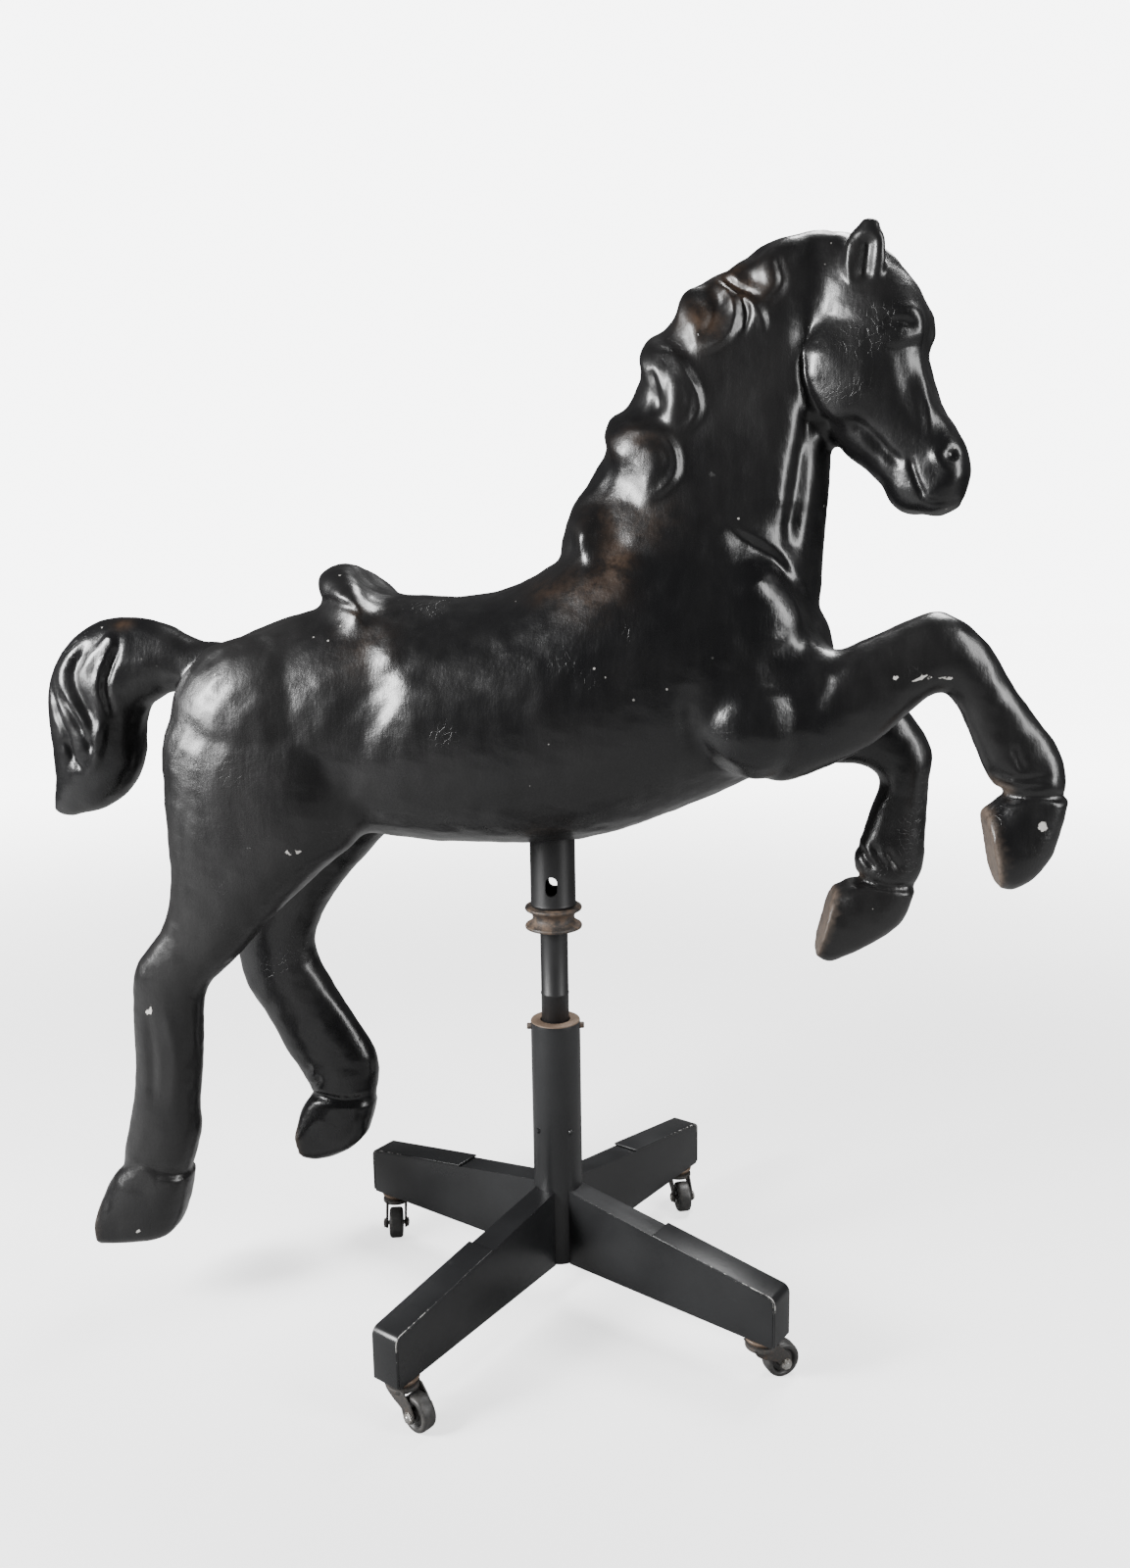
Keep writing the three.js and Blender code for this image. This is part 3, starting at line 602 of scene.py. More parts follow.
# ---------------------------------------------------------------- finishes
class Bench:
    """A material's nodes, with short calls for those that the finishes need."""

    def __init__(self, name: str) -> None:
        """Starts an empty material with its shader, its output and the object's own coordinates.

        Args:
            name: the material's name.
        """
        self.material = bpy.data.materials.new(name)
        self.material.use_nodes = True
        self.tree = self.material.node_tree
        self.tree.nodes.clear()
        output = self.tree.nodes.new("ShaderNodeOutputMaterial")
        self.shader = self.tree.nodes.new("ShaderNodeBsdfPrincipled")
        self.tree.links.new(self.shader.outputs[0], output.inputs[0])
        self.place = self.tree.nodes.new("ShaderNodeTexCoord").outputs["Object"]

    def put(self, node: bpy.types.Node, key: str | int, value: object) -> None:
        """Sets a node's input, or links a socket into it.

        Args:
            node: the node.
            key: the input's name or number.
            value: a plain value or another node's socket.
        """
        if isinstance(value, Socket):
            self.tree.links.new(value, node.inputs[key])
        else:
            node.inputs[key].default_value = value

    def node(self, kind: str, inputs: dict[str | int, object], **settings: object) -> bpy.types.Node:
        """A new node.

        Args:
            kind: its type without the leading words.
            inputs: its inputs, by name or number.
            settings: its own settings.

        Returns:
            The node.
        """
        node = self.tree.nodes.new("ShaderNode" + kind)
        for key, value in settings.items():
            setattr(node, key, value)
        for key, value in inputs.items():
            self.put(node, key, value)
        return node

    def noise(self, scale: float, detail: float = 3.0, stretch: Triple | None = None,
              roughness: float = 0.5) -> Socket:
        """Cloudy noise from 0 to 1.

        Args:
            scale: clouds to the metre.
            detail: how many finer layers are added.
            stretch: how many times closer the clouds stand along each axis.
            roughness: how strong the finer layers are.

        Returns:
            The noise.
        """
        where = self.place
        if stretch:
            where = self.node("Mapping", {"Vector": where, "Scale": stretch}).outputs[0]
        inputs = {"Vector": where, "Scale": scale, "Detail": detail, "Roughness": roughness}
        return self.node("TexNoise", inputs).outputs["Fac"]

    def cells(self, scale: float, feature: str = "DISTANCE_TO_EDGE") -> Socket:
        """The distance to the edges of random cells (cells to the metre), or to their middles."""
        inputs = {"Vector": self.place, "Scale": scale}
        return self.node("TexVoronoi", inputs, feature=feature).outputs["Distance"]

    def ramp(self, value: Socket, low: float, high: float, start: float = 0.0, end: float = 1.0) -> Socket:
        """The value taken smoothly from low..high to start..end and held there.

        Args:
            value: what goes in.
            low: where the change begins.
            high: where it ends.
            start: the result below it.
            end: the result above it.

        Returns:
            The result.
        """
        inputs = {"Value": value, "From Min": low, "From Max": high, "To Min": start, "To Max": end}
        return self.node("MapRange", inputs, interpolation_type="SMOOTHSTEP").outputs["Result"]

    def math(self, kind: str, a: object, b: object) -> Socket:
        """The sum, product or other calculation `kind` of two values."""
        return self.node("Math", {0: a, 1: b}, operation=kind).outputs[0]

    def times(self, a: object, b: object) -> Socket:
        """The product of two values."""
        return self.math("MULTIPLY", a, b)

    def plus(self, a: object, b: object) -> Socket:
        """The sum of two values."""
        return self.math("ADD", a, b)

    def mix(self, share: object, a: object, b: object) -> Socket:
        """Colour a turning to colour b.

        Args:
            share: how much of b there is, from 0 to 1.
            a: the first colour.
            b: the second colour.

        Returns:
            The mixed colour.
        """
        first, second = (c if isinstance(c, Socket) else (*c, 1.0) for c in (a, b))
        return self.node("Mix", {0: share, 6: first, 7: second}, data_type="RGBA").outputs[2]

    def mark(self, name: str) -> Socket:
        """The number of that name which the piece's own mesh carries."""
        return self.node("Attribute", {}, attribute_name=name).outputs["Fac"]

    def relief(self, height: Socket, distance: float, strength: float,
               under: Socket | None = None) -> Socket:
        """A bump, over another one where there is one.

        Args:
            height: its shape.
            distance: the height in metres that 1 stands for.
            strength: how much of it shows.
            under: the bump below it.

        Returns:
            The bent normal.
        """
        inputs = {"Distance": distance, "Strength": strength, "Height": height}
        if under is not None:
            inputs["Normal"] = under
        return self.node("Bump", inputs).outputs[0]

    def done(self, **sockets: object) -> bpy.types.Material:
        """Fills the shader's sockets.

        Args:
            sockets: their values, each named as the socket with _ for a space.

        Returns:
            The material.
        """
        for key, value in sockets.items():
            self.put(self.shader, key.replace("_", " "), value)
        return self.material


@dataclass(frozen=True)
class BrushedEnamel:
    """Black enamel brushed over a lumpy, crackled ground, with brown wear and white chips."""

    black: Triple = (0.0045, 0.0045, 0.005)
    dusty: Triple = (0.012, 0.0115, 0.0115)
    brown: Triple = (0.062, 0.034, 0.018)
    chip: Triple = (0.62, 0.60, 0.57)
    dust: Triple = (0.17, 0.128, 0.10)

    def make(self) -> bpy.types.Material:
        """Lays the enamel's nodes.

        Returns:
            The material.
        """
        b = Bench("brushed_enamel")
        patches = b.noise(5.0, 4.0)
        strokes = b.noise(55.0, 3.0, (1.0, 1.0, 0.22), 0.6)
        fine = b.noise(420.0, 2.0, (1.0, 1.0, 0.10), 0.5)
        pits = b.noise(170.0, 4.0, None, 0.65)
        crackle = b.ramp(b.cells(120.0), 0.0, 0.025, 1.0, 0.0)
        crackle = b.times(crackle, b.ramp(b.noise(9.0, 2.0), 0.56, 0.72, 0.0, 0.5))
        worn = b.times(b.mark("worn"), b.ramp(b.noise(38.0, 5.0, None, 0.7), 0.36, 0.62, 0.15, 1.0))
        ground = b.mix(b.ramp(patches, 0.35, 0.75, 0.0, 0.8), self.black, self.dusty)
        ground = b.mix(b.times(worn, 0.75), ground, self.brown)
        edge = b.plus(b.mark("chip"), b.times(b.math("SUBTRACT", b.noise(260.0, 3.0), 0.5), 0.35))
        chipped = b.ramp(edge, 0.5, 0.58)
        specks = b.times(b.ramp(b.cells(48.0, "F1"), 0.05, 0.075, 1.0, 0.0),
                         b.ramp(b.noise(7.0, 2.0), 0.57, 0.62))
        pale = b.math("MAXIMUM", chipped, b.times(specks, 0.55))
        colour = b.mix(pale, ground, self.chip)
        rough = b.ramp(b.plus(b.times(patches, 0.6), b.times(strokes, 0.4)), 0.3, 0.75, 0.23, 0.44)
        rough = b.plus(rough, b.times(worn, 0.22))
        dust = b.times(b.mark("dust"), b.ramp(b.noise(120.0, 5.0, None, 0.7), 0.3, 0.6, 0.35, 0.9))
        colour = b.mix(dust, colour, self.dust)
        rough = b.plus(rough, b.times(b.plus(pale, dust), 0.3))
        normal = b.relief(b.noise(26.0, 3.0), 0.002, 0.45)
        normal = b.relief(strokes, 0.0006, 0.6, normal)
        normal = b.relief(pits, 0.0006, 0.55, normal)
        normal = b.relief(fine, 0.00025, 0.5, normal)
        normal = b.relief(b.math("SUBTRACT", 0.0, b.plus(crackle, chipped)), 0.0005, 0.6, normal)
        b.shader.inputs["Coat Weight"].default_value = 0.25
        b.shader.inputs["Coat Roughness"].default_value = 0.19
        return b.done(Base_Color=colour, Roughness=rough, Normal=normal)


@dataclass(frozen=True)
class StandPaint:
    """Dark grey satin paint on steel, with a fine orange-peel skin, steel showing where the paint is worn,
    and a painted highlight in the same pale colour along the upper folds.
    """

    name: str
    paint: Triple
    # the colour of worn-through steel, also used as a painted highlight along the upper folds
    bare_and_highlight: Triple = (0.55, 0.54, 0.52)
    rough: Pair = (0.27, 0.42)

    def make(self) -> bpy.types.Material:
        """Lays the paint's nodes.

        Returns:
            The material.
        """
        b = Bench(self.name)
        cloud, peel = b.noise(7.0, 4.0), b.noise(330.0, 3.0)
        scuffs = b.noise(70.0, 4.0, (1.0, 1.0, 3.0), 0.7)
        lighter = tuple(1.7 * channel for channel in self.paint)
        colour = b.mix(b.ramp(cloud, 0.3, 0.75), self.paint, lighter)
        dust = b.ramp(scuffs, 0.62, 0.8, 0.0, 0.35)
        colour = b.mix(dust, colour, tuple(3.4 * channel for channel in self.paint))
        # pale steel: real wear at the arms' ends, and a painted highlight along the upper folds and the
        # near edge of the right front arm
        edge = b.plus(b.mark("wear_and_highlight"), b.times(b.math("SUBTRACT", b.noise(240.0, 3.0), 0.5), 0.7))
        bare_and_highlight = b.ramp(edge, 0.55, 0.66)
        colour = b.mix(bare_and_highlight, colour, self.bare_and_highlight)
        rough = b.plus(b.ramp(cloud, 0.3, 0.7, *self.rough), b.times(dust, 0.4))
        normal = b.relief(peel, 0.0004, 0.25, b.relief(cloud, 0.002, 0.15))
        b.shader.inputs["Metallic"].default_value = 0.0
        return b.done(Base_Color=colour, Roughness=rough, Normal=normal)


@dataclass(frozen=True)
class Rust:
    """Brown dusty rust over dark paint, more of it where the piece says so."""

    name: str
    dark: Triple
    rust: Triple
    share: Pair = (0.42, 0.62)

    def make(self) -> bpy.types.Material:
        """Lays the rust's nodes.

        Returns:
            The material.
        """
        b = Bench(self.name)
        bloom, grain = b.noise(60.0, 6.0, None, 0.7), b.noise(420.0, 4.0, None, 0.7)
        rusted = b.ramp(b.plus(bloom, b.times(b.mark("rusted"), 0.4)), *self.share)
        colour = b.mix(rusted, self.dark, self.rust)
        colour = b.mix(b.ramp(grain, 0.5, 0.8, 0.0, 0.5), colour,
                       tuple(1.9 * channel for channel in self.rust))
        normal = b.relief(grain, 0.0005, 0.5, b.relief(bloom, 0.0012, 0.4))
        b.shader.inputs["Metallic"].default_value = 0.25
        return b.done(Base_Color=colour, Roughness=b.ramp(bloom, 0.3, 0.7, 0.45, 0.8), Normal=normal)


@dataclass(frozen=True)
class BareSteel:
    """Worn bright steel with fine turning marks."""

    name: str = "bare_steel"

    def make(self) -> bpy.types.Material:
        """Lays the steel's nodes.

        Returns:
            The material.
        """
        b = Bench(self.name)
        dull = b.ramp(b.noise(150.0, 5.0, None, 0.7), 0.4, 0.7)
        colour = b.mix(dull, (0.52, 0.51, 0.49), (0.16, 0.14, 0.12))
        normal = b.relief(b.noise(900.0, 3.0), 0.0002, 0.4)
        b.shader.inputs["Metallic"].default_value = 0.9
        return b.done(Base_Color=colour, Roughness=b.ramp(dull, 0.0, 1.0, 0.3, 0.6), Normal=normal)


@dataclass(frozen=True)
class WheelPlastic:
    """Dull dark grey plastic, dusty on the tread."""

    name: str = "wheel_plastic"

    def make(self) -> bpy.types.Material:
        """Lays the plastic's nodes.

        Returns:
            The material.
        """
        b = Bench(self.name)
        dust = b.ramp(b.noise(120.0, 5.0, None, 0.7), 0.45, 0.75, 0.0, 0.6)
        colour = b.mix(dust, (0.040, 0.039, 0.038), (0.12, 0.112, 0.104))
        normal = b.relief(b.noise(500.0, 3.0), 0.0003, 0.3)
        return b.done(Base_Color=colour, Roughness=b.ramp(dust, 0.0, 0.6, 0.42, 0.7), Normal=normal)


# ---------------------------------------------------------------- turning the arrays into pieces
class Shop:
    """Sets pieces on their bodies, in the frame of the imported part."""

    def __init__(self) -> None:
        """Finds the column's axis and makes the finishes."""
        low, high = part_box("column")
        self.axis = ((low + high) / 2 / MM).xy
        self.finishes: dict[str, bpy.types.Material] = {
            "horse_paint": BrushedEnamel().make(),
            "stand_paint": StandPaint("stand_paint", (0.0115, 0.0118, 0.0125)).make(),
            "pole_paint": StandPaint("pole_paint", (0.009, 0.009, 0.0095), rough=(0.36, 0.55)).make(),
            "rusted_steel": Rust("rusted_steel", (0.045, 0.040, 0.037), (0.15, 0.105, 0.075)).make(),
            "caster_steel": Rust("caster_steel", (0.052, 0.050, 0.048), (0.13, 0.085, 0.06),
                                 (0.55, 0.75)).make(),
            "axle_steel": BareSteel().make(),
            "wheel_plastic": WheelPlastic().make(),
        }

    def set_down(self, surface: Surface, name: str, finish: str, body: str,
                 replaces: tuple[str, ...] = (), lift: float = DATUM, sharp: float = 40.0,
                 marks: dict[str, np.ndarray] | None = None) -> bpy.types.Object:
        """Makes a piece of a surface drawn in millimetres from the column's axis.

        Args:
            surface: the shape.
            name: the piece's name.
            finish: the finish it wears.
            body: the body it rides on.
            replaces: the nodes that it stands for.
            lift: the height of its zero level above the floor.
            sharp: edges that bend by more degrees than this stay sharp.
            marks: numbers that its mesh carries for the finish.

        Returns:
            The piece.
        """
        shift = np.array([self.axis[0], self.axis[1], lift])
        mesh = mesh_of(Surface((surface.corners + shift) * MM, surface.quads, surface.triangles), name)
        mesh.polygons.foreach_set("use_smooth", np.ones(len(mesh.polygons), bool))
        mesh.set_sharp_from_angle(angle=math.radians(sharp))
        for key, values in (marks or {}).items():
            layer = mesh.attributes.new(key, "FLOAT", "POINT")
            layer.data.foreach_set("value", values.astype(np.float32))
        mesh.materials.append(self.finishes[finish])
        piece = linked(name, mesh)
        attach(piece, body)
        if replaces:
            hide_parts(*replaces)
        faces = len(surface.quads) * 2 + len(surface.triangles)
        LOG.info("%s: %d triangles on %s", name, faces, body)
        return piece


# ---------------------------------------------------------------- the horse
@dataclass
class Horse:
    """The whole horse: ribs and beads in millimetres, the carving, and the paint's wear."""

    voxel: float = 2.6
    flesh_voxel: float = 5.0
    face_limit: int = 186000
    flesh_filling: Sizes = (34, 0.28, 0.8, 6)  # rounds, shallow, deep, spread
    skin_filling: Sizes = (16, 0.2, 0.6, 3)
    flesh_softening: int = 14
    skin_softening: tuple[int, int] = (3, 4)  # before and after the carving
    lumps: Sizes = (0.34, 17.0, 80.0, 30, 7)  # depth, wavelengths, waves, seed
    trunk: Rows = (
        (-418, 819, -428, 735, 0, 62), (-385, 841, -402, 690, 0, 100), (-338, 863, -345, 652, 0, 126),
        (-280, 881, -282, 625, 0, 130), (-220, 893, -215, 618, 0, 133), (-160, 897, -150, 610, 0, 140),
        (-100, 895, -85, 608, 0, 139), (-45, 904, -20, 608, 0, 138), (5, 928, 60, 618, 0, 135),
        (60, 965, 140, 645, 0, 130), (130, 985, 210, 676, 0, 124), (205, 975, 262, 705, 0, 112),
        (262, 925, 294, 748, 0, 88), (296, 882, 312, 800, 0, 52),
    )
    neck: Rows = (
        (286, 800, 40, 905, 0, 108), (305, 880, 28, 955, 0, 98), (309, 950, 45, 1008, 0, 80),
        (314, 1010, 72, 1058, 0, 68), (314, 1065, 98, 1108, 0, 60), (306, 1115, 122, 1160, 0, 54),
        (302, 1155, 160, 1206, 0, 50), (308, 1180, 212, 1232, 0, 50), (322, 1192, 262, 1248, 0, 47),
    )
    head: Rows = (
        (42, 1259, -22, 1244, 0, 34), (75, 1238, -14, 1200, 0, 43), (103, 1207, -6, 1160, 0, 48),
        (115, 1175, 2, 1118, 0, 50), (114, 1140, 14, 1074, 0, 48), (123, 1106, 30, 1045, 0, 41),
        (135, 1082, 55, 1026, 0, 34), (149, 1061, 75, 1005, 0, 30), (160, 1042, 85, 987, 0, 30),
        (166, 1018, 102, 977, 0, 30), (159, 996, 124, 976, 0, 25),
    )
    fore_right: Rows = (
        (286, 862, 225, 705, -58, 46), (316, 836, 262, 694, -70, 46), (350, 848, 318, 714, -76, 41),
        (385, 864, 362, 739, -76, 36), (420, 877, 398, 772, -76, 33), (447, 867, 425, 791, -76, 32),
        (473, 844, 444, 780, -76, 29), (498, 805, 459, 750, -76, 26), (524, 768, 474, 714, -76, 25),
        (550, 733, 489, 690, -76, 27), (559, 700, 496, 683, -76, 28), (556, 664, 492, 672, -76, 27),
    )
    fore_left: Rows = (
        (292, 850, 235, 705, 58, 46), (325, 822, 280, 694, 70, 44), (362, 796, 325, 690, 76, 39),
        (398, 772, 356, 690, 76, 34), (427, 737, 379, 680, 76, 32), (444, 703, 384, 662, 76, 30),
        (441, 660, 377, 638, 76, 27), (440, 615, 366, 603, 76, 25), (439, 572, 357, 574, 76, 27),
        (430, 543, 361, 554, 76, 28), (414, 508, 356, 542, 76, 27),
    )
    hind_right: Rows = (
        (-205, 790, -392, 822, -58, 60), (-192, 705, -434, 752, -74, 66),
        (-206, 632, -440, 682, -80, 62), (-262, 582, -437, 622, -85, 53),
        (-318, 530, -438, 567, -86, 43), (-362, 483, -453, 516, -86, 36),
        (-399, 448, -492, 464, -86, 33), (-411, 424, -498, 404, -86, 31),
        (-418, 360, -501, 350, -86, 28), (-426, 292, -506, 305, -86, 28),
        (-428, 256, -521, 246, -86, 31), (-438, 220, -525, 222, -86, 32),
        (-454, 175, -530, 202, -86, 30),
    )
    hind_left: Rows = (
        (-200, 790, -392, 822, 58, 60), (-178, 705, -434, 752, 74, 66), (-186, 640, -440, 676, 80, 60),
        (-240, 582, -434, 600, 85, 52), (-292, 524, -436, 530, 86, 43), (-322, 480, -440, 470, 86, 37),
        (-333, 436, -428, 392, 86, 34), (-312, 388, -402, 344, 86, 31), (-283, 340, -381, 302, 86, 28),
        (-256, 292, -362, 270, 86, 29), (-255, 250, -346, 240, 86, 31), (-266, 198, -346, 226, 86, 30),
    )
    hooves: tuple[Rows, ...] = (
        ((562, 680, 500, 686, -76, 29), (551, 626, 489, 674, -76, 34), (532, 596, 483, 669, -76, 37),
         (511, 582, 479, 665, -76, 38), (495, 583, 478, 661, -76, 38)),
        ((430, 535, 362, 549, 76, 29), (413, 495, 350, 546, 76, 34), (371, 464, 342, 541, 76, 37),
         (332, 446, 335, 537, 76, 38), (313, 453, 332, 532, 76, 38)),
        ((-441, 200, -518, 216, -86, 32), (-453, 154, -533, 204, -86, 36),
         (-472, 122, -545, 189, -86, 38), (-510, 112, -551, 175, -86, 39),
         (-555, 109, -555, 161, -86, 39)),
        ((-258, 226, -345, 235, 86, 32), (-272, 180, -352, 225, 86, 36), (-300, 156, -359, 213, 86, 37),
         (-332, 145, -362, 201, 86, 38), (-353, 147, -364, 190, 86, 38)),
    )
    muscles: Rows = (
        (212, 70, 850, 74, 44, 86, 25), (232, 86, 757, 64, 46, 58, 0),
        (-324, 76, 752, 106, 63, 104, -15),
    )
    cheek: Sizes = (42, 43, 1122, 42, 13, 52)
    cantle_root: Sizes = (-210, 0, 882, 44, 74, 24)
    tail: Rows = (
        (-392, 845, -398, 775, 0, 24), (-425, 846, -432, 782, 0, 28), (-458, 862, -462, 784, 0, 31),
        (-490, 872, -482, 774, 0, 35), (-524, 874, -494, 766, 0, 38), (-560, 865, -501, 752, 0, 41),
        (-593, 840, -505, 735, 0, 43), (-615, 804, -506, 714, 0, 43), (-622, 762, -510, 694, 0, 41),
        (-621, 715, -520, 674, 0, 37), (-622, 680, -536, 655, 0, 31), (-627, 655, -565, 638, 0, 21),
        (-630, 640, -604, 629, 0, 9),
    )
    cantle: Rows = (
        (-194, -88, 872, 10, 12), (-214, -64, 893, 18, 20), (-235, -34, 907, 22, 25),
        (-241, 0, 910, 24, 27), (-235, 34, 907, 22, 25), (-214, 64, 893, 18, 20),
        (-194, 88, 872, 10, 12),
    )
    crest: Rows = (
        (300, 0, 1252, 30, 22), (254, 0, 1241, 32, 24), (222, 0, 1219, 34, 24), (190, 0, 1205, 36, 25),
        (164, 0, 1176, 37, 24), (142, 0, 1147, 39, 24), (130, 0, 1104, 42, 24), (101, 0, 1065, 44, 25),
        (88, 0, 1026, 46, 24), (54, 0, 985, 48, 24), (40, 0, 942, 50, 24),
    )
    mane: tuple[Rows, ...] = (
        ((296, -10, 1252, 17, 20), (268, -27, 1236, 17, 26), (250, -36, 1216, 15, 26),
         (250, -40, 1192, 10, 14)),
        ((234, -6, 1230, 16, 18), (220, -27, 1216, 16, 24), (230, -40, 1190, 13, 20),
         (228, -45, 1166, 8, 11)),
        ((190, -4, 1201, 20, 24), (175, -28, 1190, 20, 30), (183, -44, 1172, 16, 27),
         (174, -51, 1150, 8, 11)),
        ((138, -4, 1156, 20, 25), (134, -34, 1138, 19, 27), (149, -51, 1106, 16, 22),
         (146, -58, 1074, 8, 11)),
        ((98, -4, 1076, 20, 25), (98, -41, 1060, 19, 28), (123, -62, 1034, 16, 27),
         (124, -69, 1004, 8, 12)),
        ((54, -4, 986, 20, 25), (54, -42, 974, 17, 23), (58, -66, 960, 13, 18), (53, -76, 940, 8, 10)),
    )
    tail_strands: tuple[Rows, ...] = (
        ((-520, -32, 850, 5, 8), (-548, -36, 810, 7, 13), (-540, -37, 762, 7, 12),
         (-552, -34, 706, 7, 11), (-590, -24, 664, 5, 8)),
    )
    ear: Rows = (
        (40, -24, 1176, 13, 15), (47, -28, 1194, 14, 20), (54, -33, 1214, 14, 24),
        (60, -38, 1234, 13, 23), (64, -40, 1250, 11, 19), (66, -40, 1261, 8, 11),
    )
    far_ear_back: float = 32.0
    far_ear_down: float = 1.0
    forelock: Rows = (
        (44, -12, 1238, 12, 18), (66, -10, 1226, 12, 18), (86, -6, 1206, 9, 13), (99, -4, 1180, 5, 7),
    )
    dust_width: float = 5.0
    worn_patches: Rows = (  # x, z, half length, half height, share
        (215, 1215, 26, 18, 0.9), (175, 1178, 18, 20, 1.0), (110, 1055, 26, 14, 0.45),
        (100, 975, 36, 22, 0.55), (88, 930, 16, 26, 0.9), (60, 900, 30, 22, 0.7),
        (-200, 880, 10, 8, 0.8), (20, 900, 26, 12, 0.4), (-190, 845, 30, 30, 0.25),
        (-510, 866, 10, 6, 0.6),
    )
    chips: Rows = (  # x, z, size
        (532, 656, 5.5), (-467, 417, 4.5), (-462, 424, 4.0), (-275, 619, 4.0), (-267, 620, 3.6),
        (-327, 677, 3.4), (-298, 687, 3.0), (378, 810, 3.0), (387, 811, 2.6), (396, 809, 3.0),
        (404, 810, 2.6), (412, 811, 3.0), (424, 810, 2.6), (433, 810, 3.2), (-520, 146, 3.0),
        (-498, 139, 2.6),
    )
    dusty_edges: Rows = (  # from x, z to x, z, side, share
        (478, 666, 494, 582, -1, 0.9), (333, 534, 311, 455, 1, 1.0), (-555, 166, -556, 110, -1, 0.25),
        (-364, 196, -355, 146, 1, 0.4), (478, 700, 498, 690, -1, 0.7), (338, 552, 362, 556, 1, 0.7),
    )

    def flesh(self) -> list[Surface]:
        """The rounded masses that run into one another: trunk, neck, head, mane, legs and tail.

        Returns:
            Their surfaces, which overlap.
        """
        muscles = [ball((x, side * y, z), size, tilt) for side in (-1, 1)
                   for x, y, z, *size, tilt in self.muscles]
        legs = (self.fore_right, self.fore_left, self.hind_right, self.hind_left)
        x, y, z, *size = self.cheek
        cheeks = [ball((x, side * y, z), size) for side in (-1, 1)]
        skull = [limb(self.head, 2.3, (0.5, 0.45)), *cheeks]
        return [
            *(part.placed(head_matrix()) for part in skull),
            limb(self.trunk, 2.15, (0.35, 0.4)),
            limb(self.neck, 2.1, (0.2, 0.5)),
            limb(self.tail, 2.2, (0.4, 0.6)),
            lock(self.crest),
            *(lock(beads) for beads in self.mane),
            *(lock(mirrored(beads)) for beads in self.mane),
            lock(self.cantle, lean=(0, 0, 1)),
            ball(self.cantle_root[:3], self.cantle_root[3:]),
            *(limb(ribs, cap=(0.4, 0.2)) for ribs in legs),
            *muscles,
        ]

    def head_features(self) -> list[Surface]:
        """The ears and the forelock, turned to the right as one.

        Returns:
            Their surfaces.
        """
        far_ear = tuple((x - self.far_ear_back, y, z - self.far_ear_down, *sizes)
                        for x, y, z, *sizes in mirrored(self.ear))
        masses = [lock(self.ear), lock(far_ear), lock(self.forelock)]
        return [mass.placed(head_matrix()) for mass in masses]

    def strands_and_hooves(self) -> list[Surface]:
        """The tail's strands and the hooves, whose ends are almost flat.

        Returns:
            Their surfaces.
        """
        strands = [lock(beads) for beads in self.tail_strands]
        strands += [lock(mirrored(beads)) for beads in self.tail_strands]
        return strands + [limb(ribs, 2.7, (0.02, 0.02)) for ribs in self.hooves]

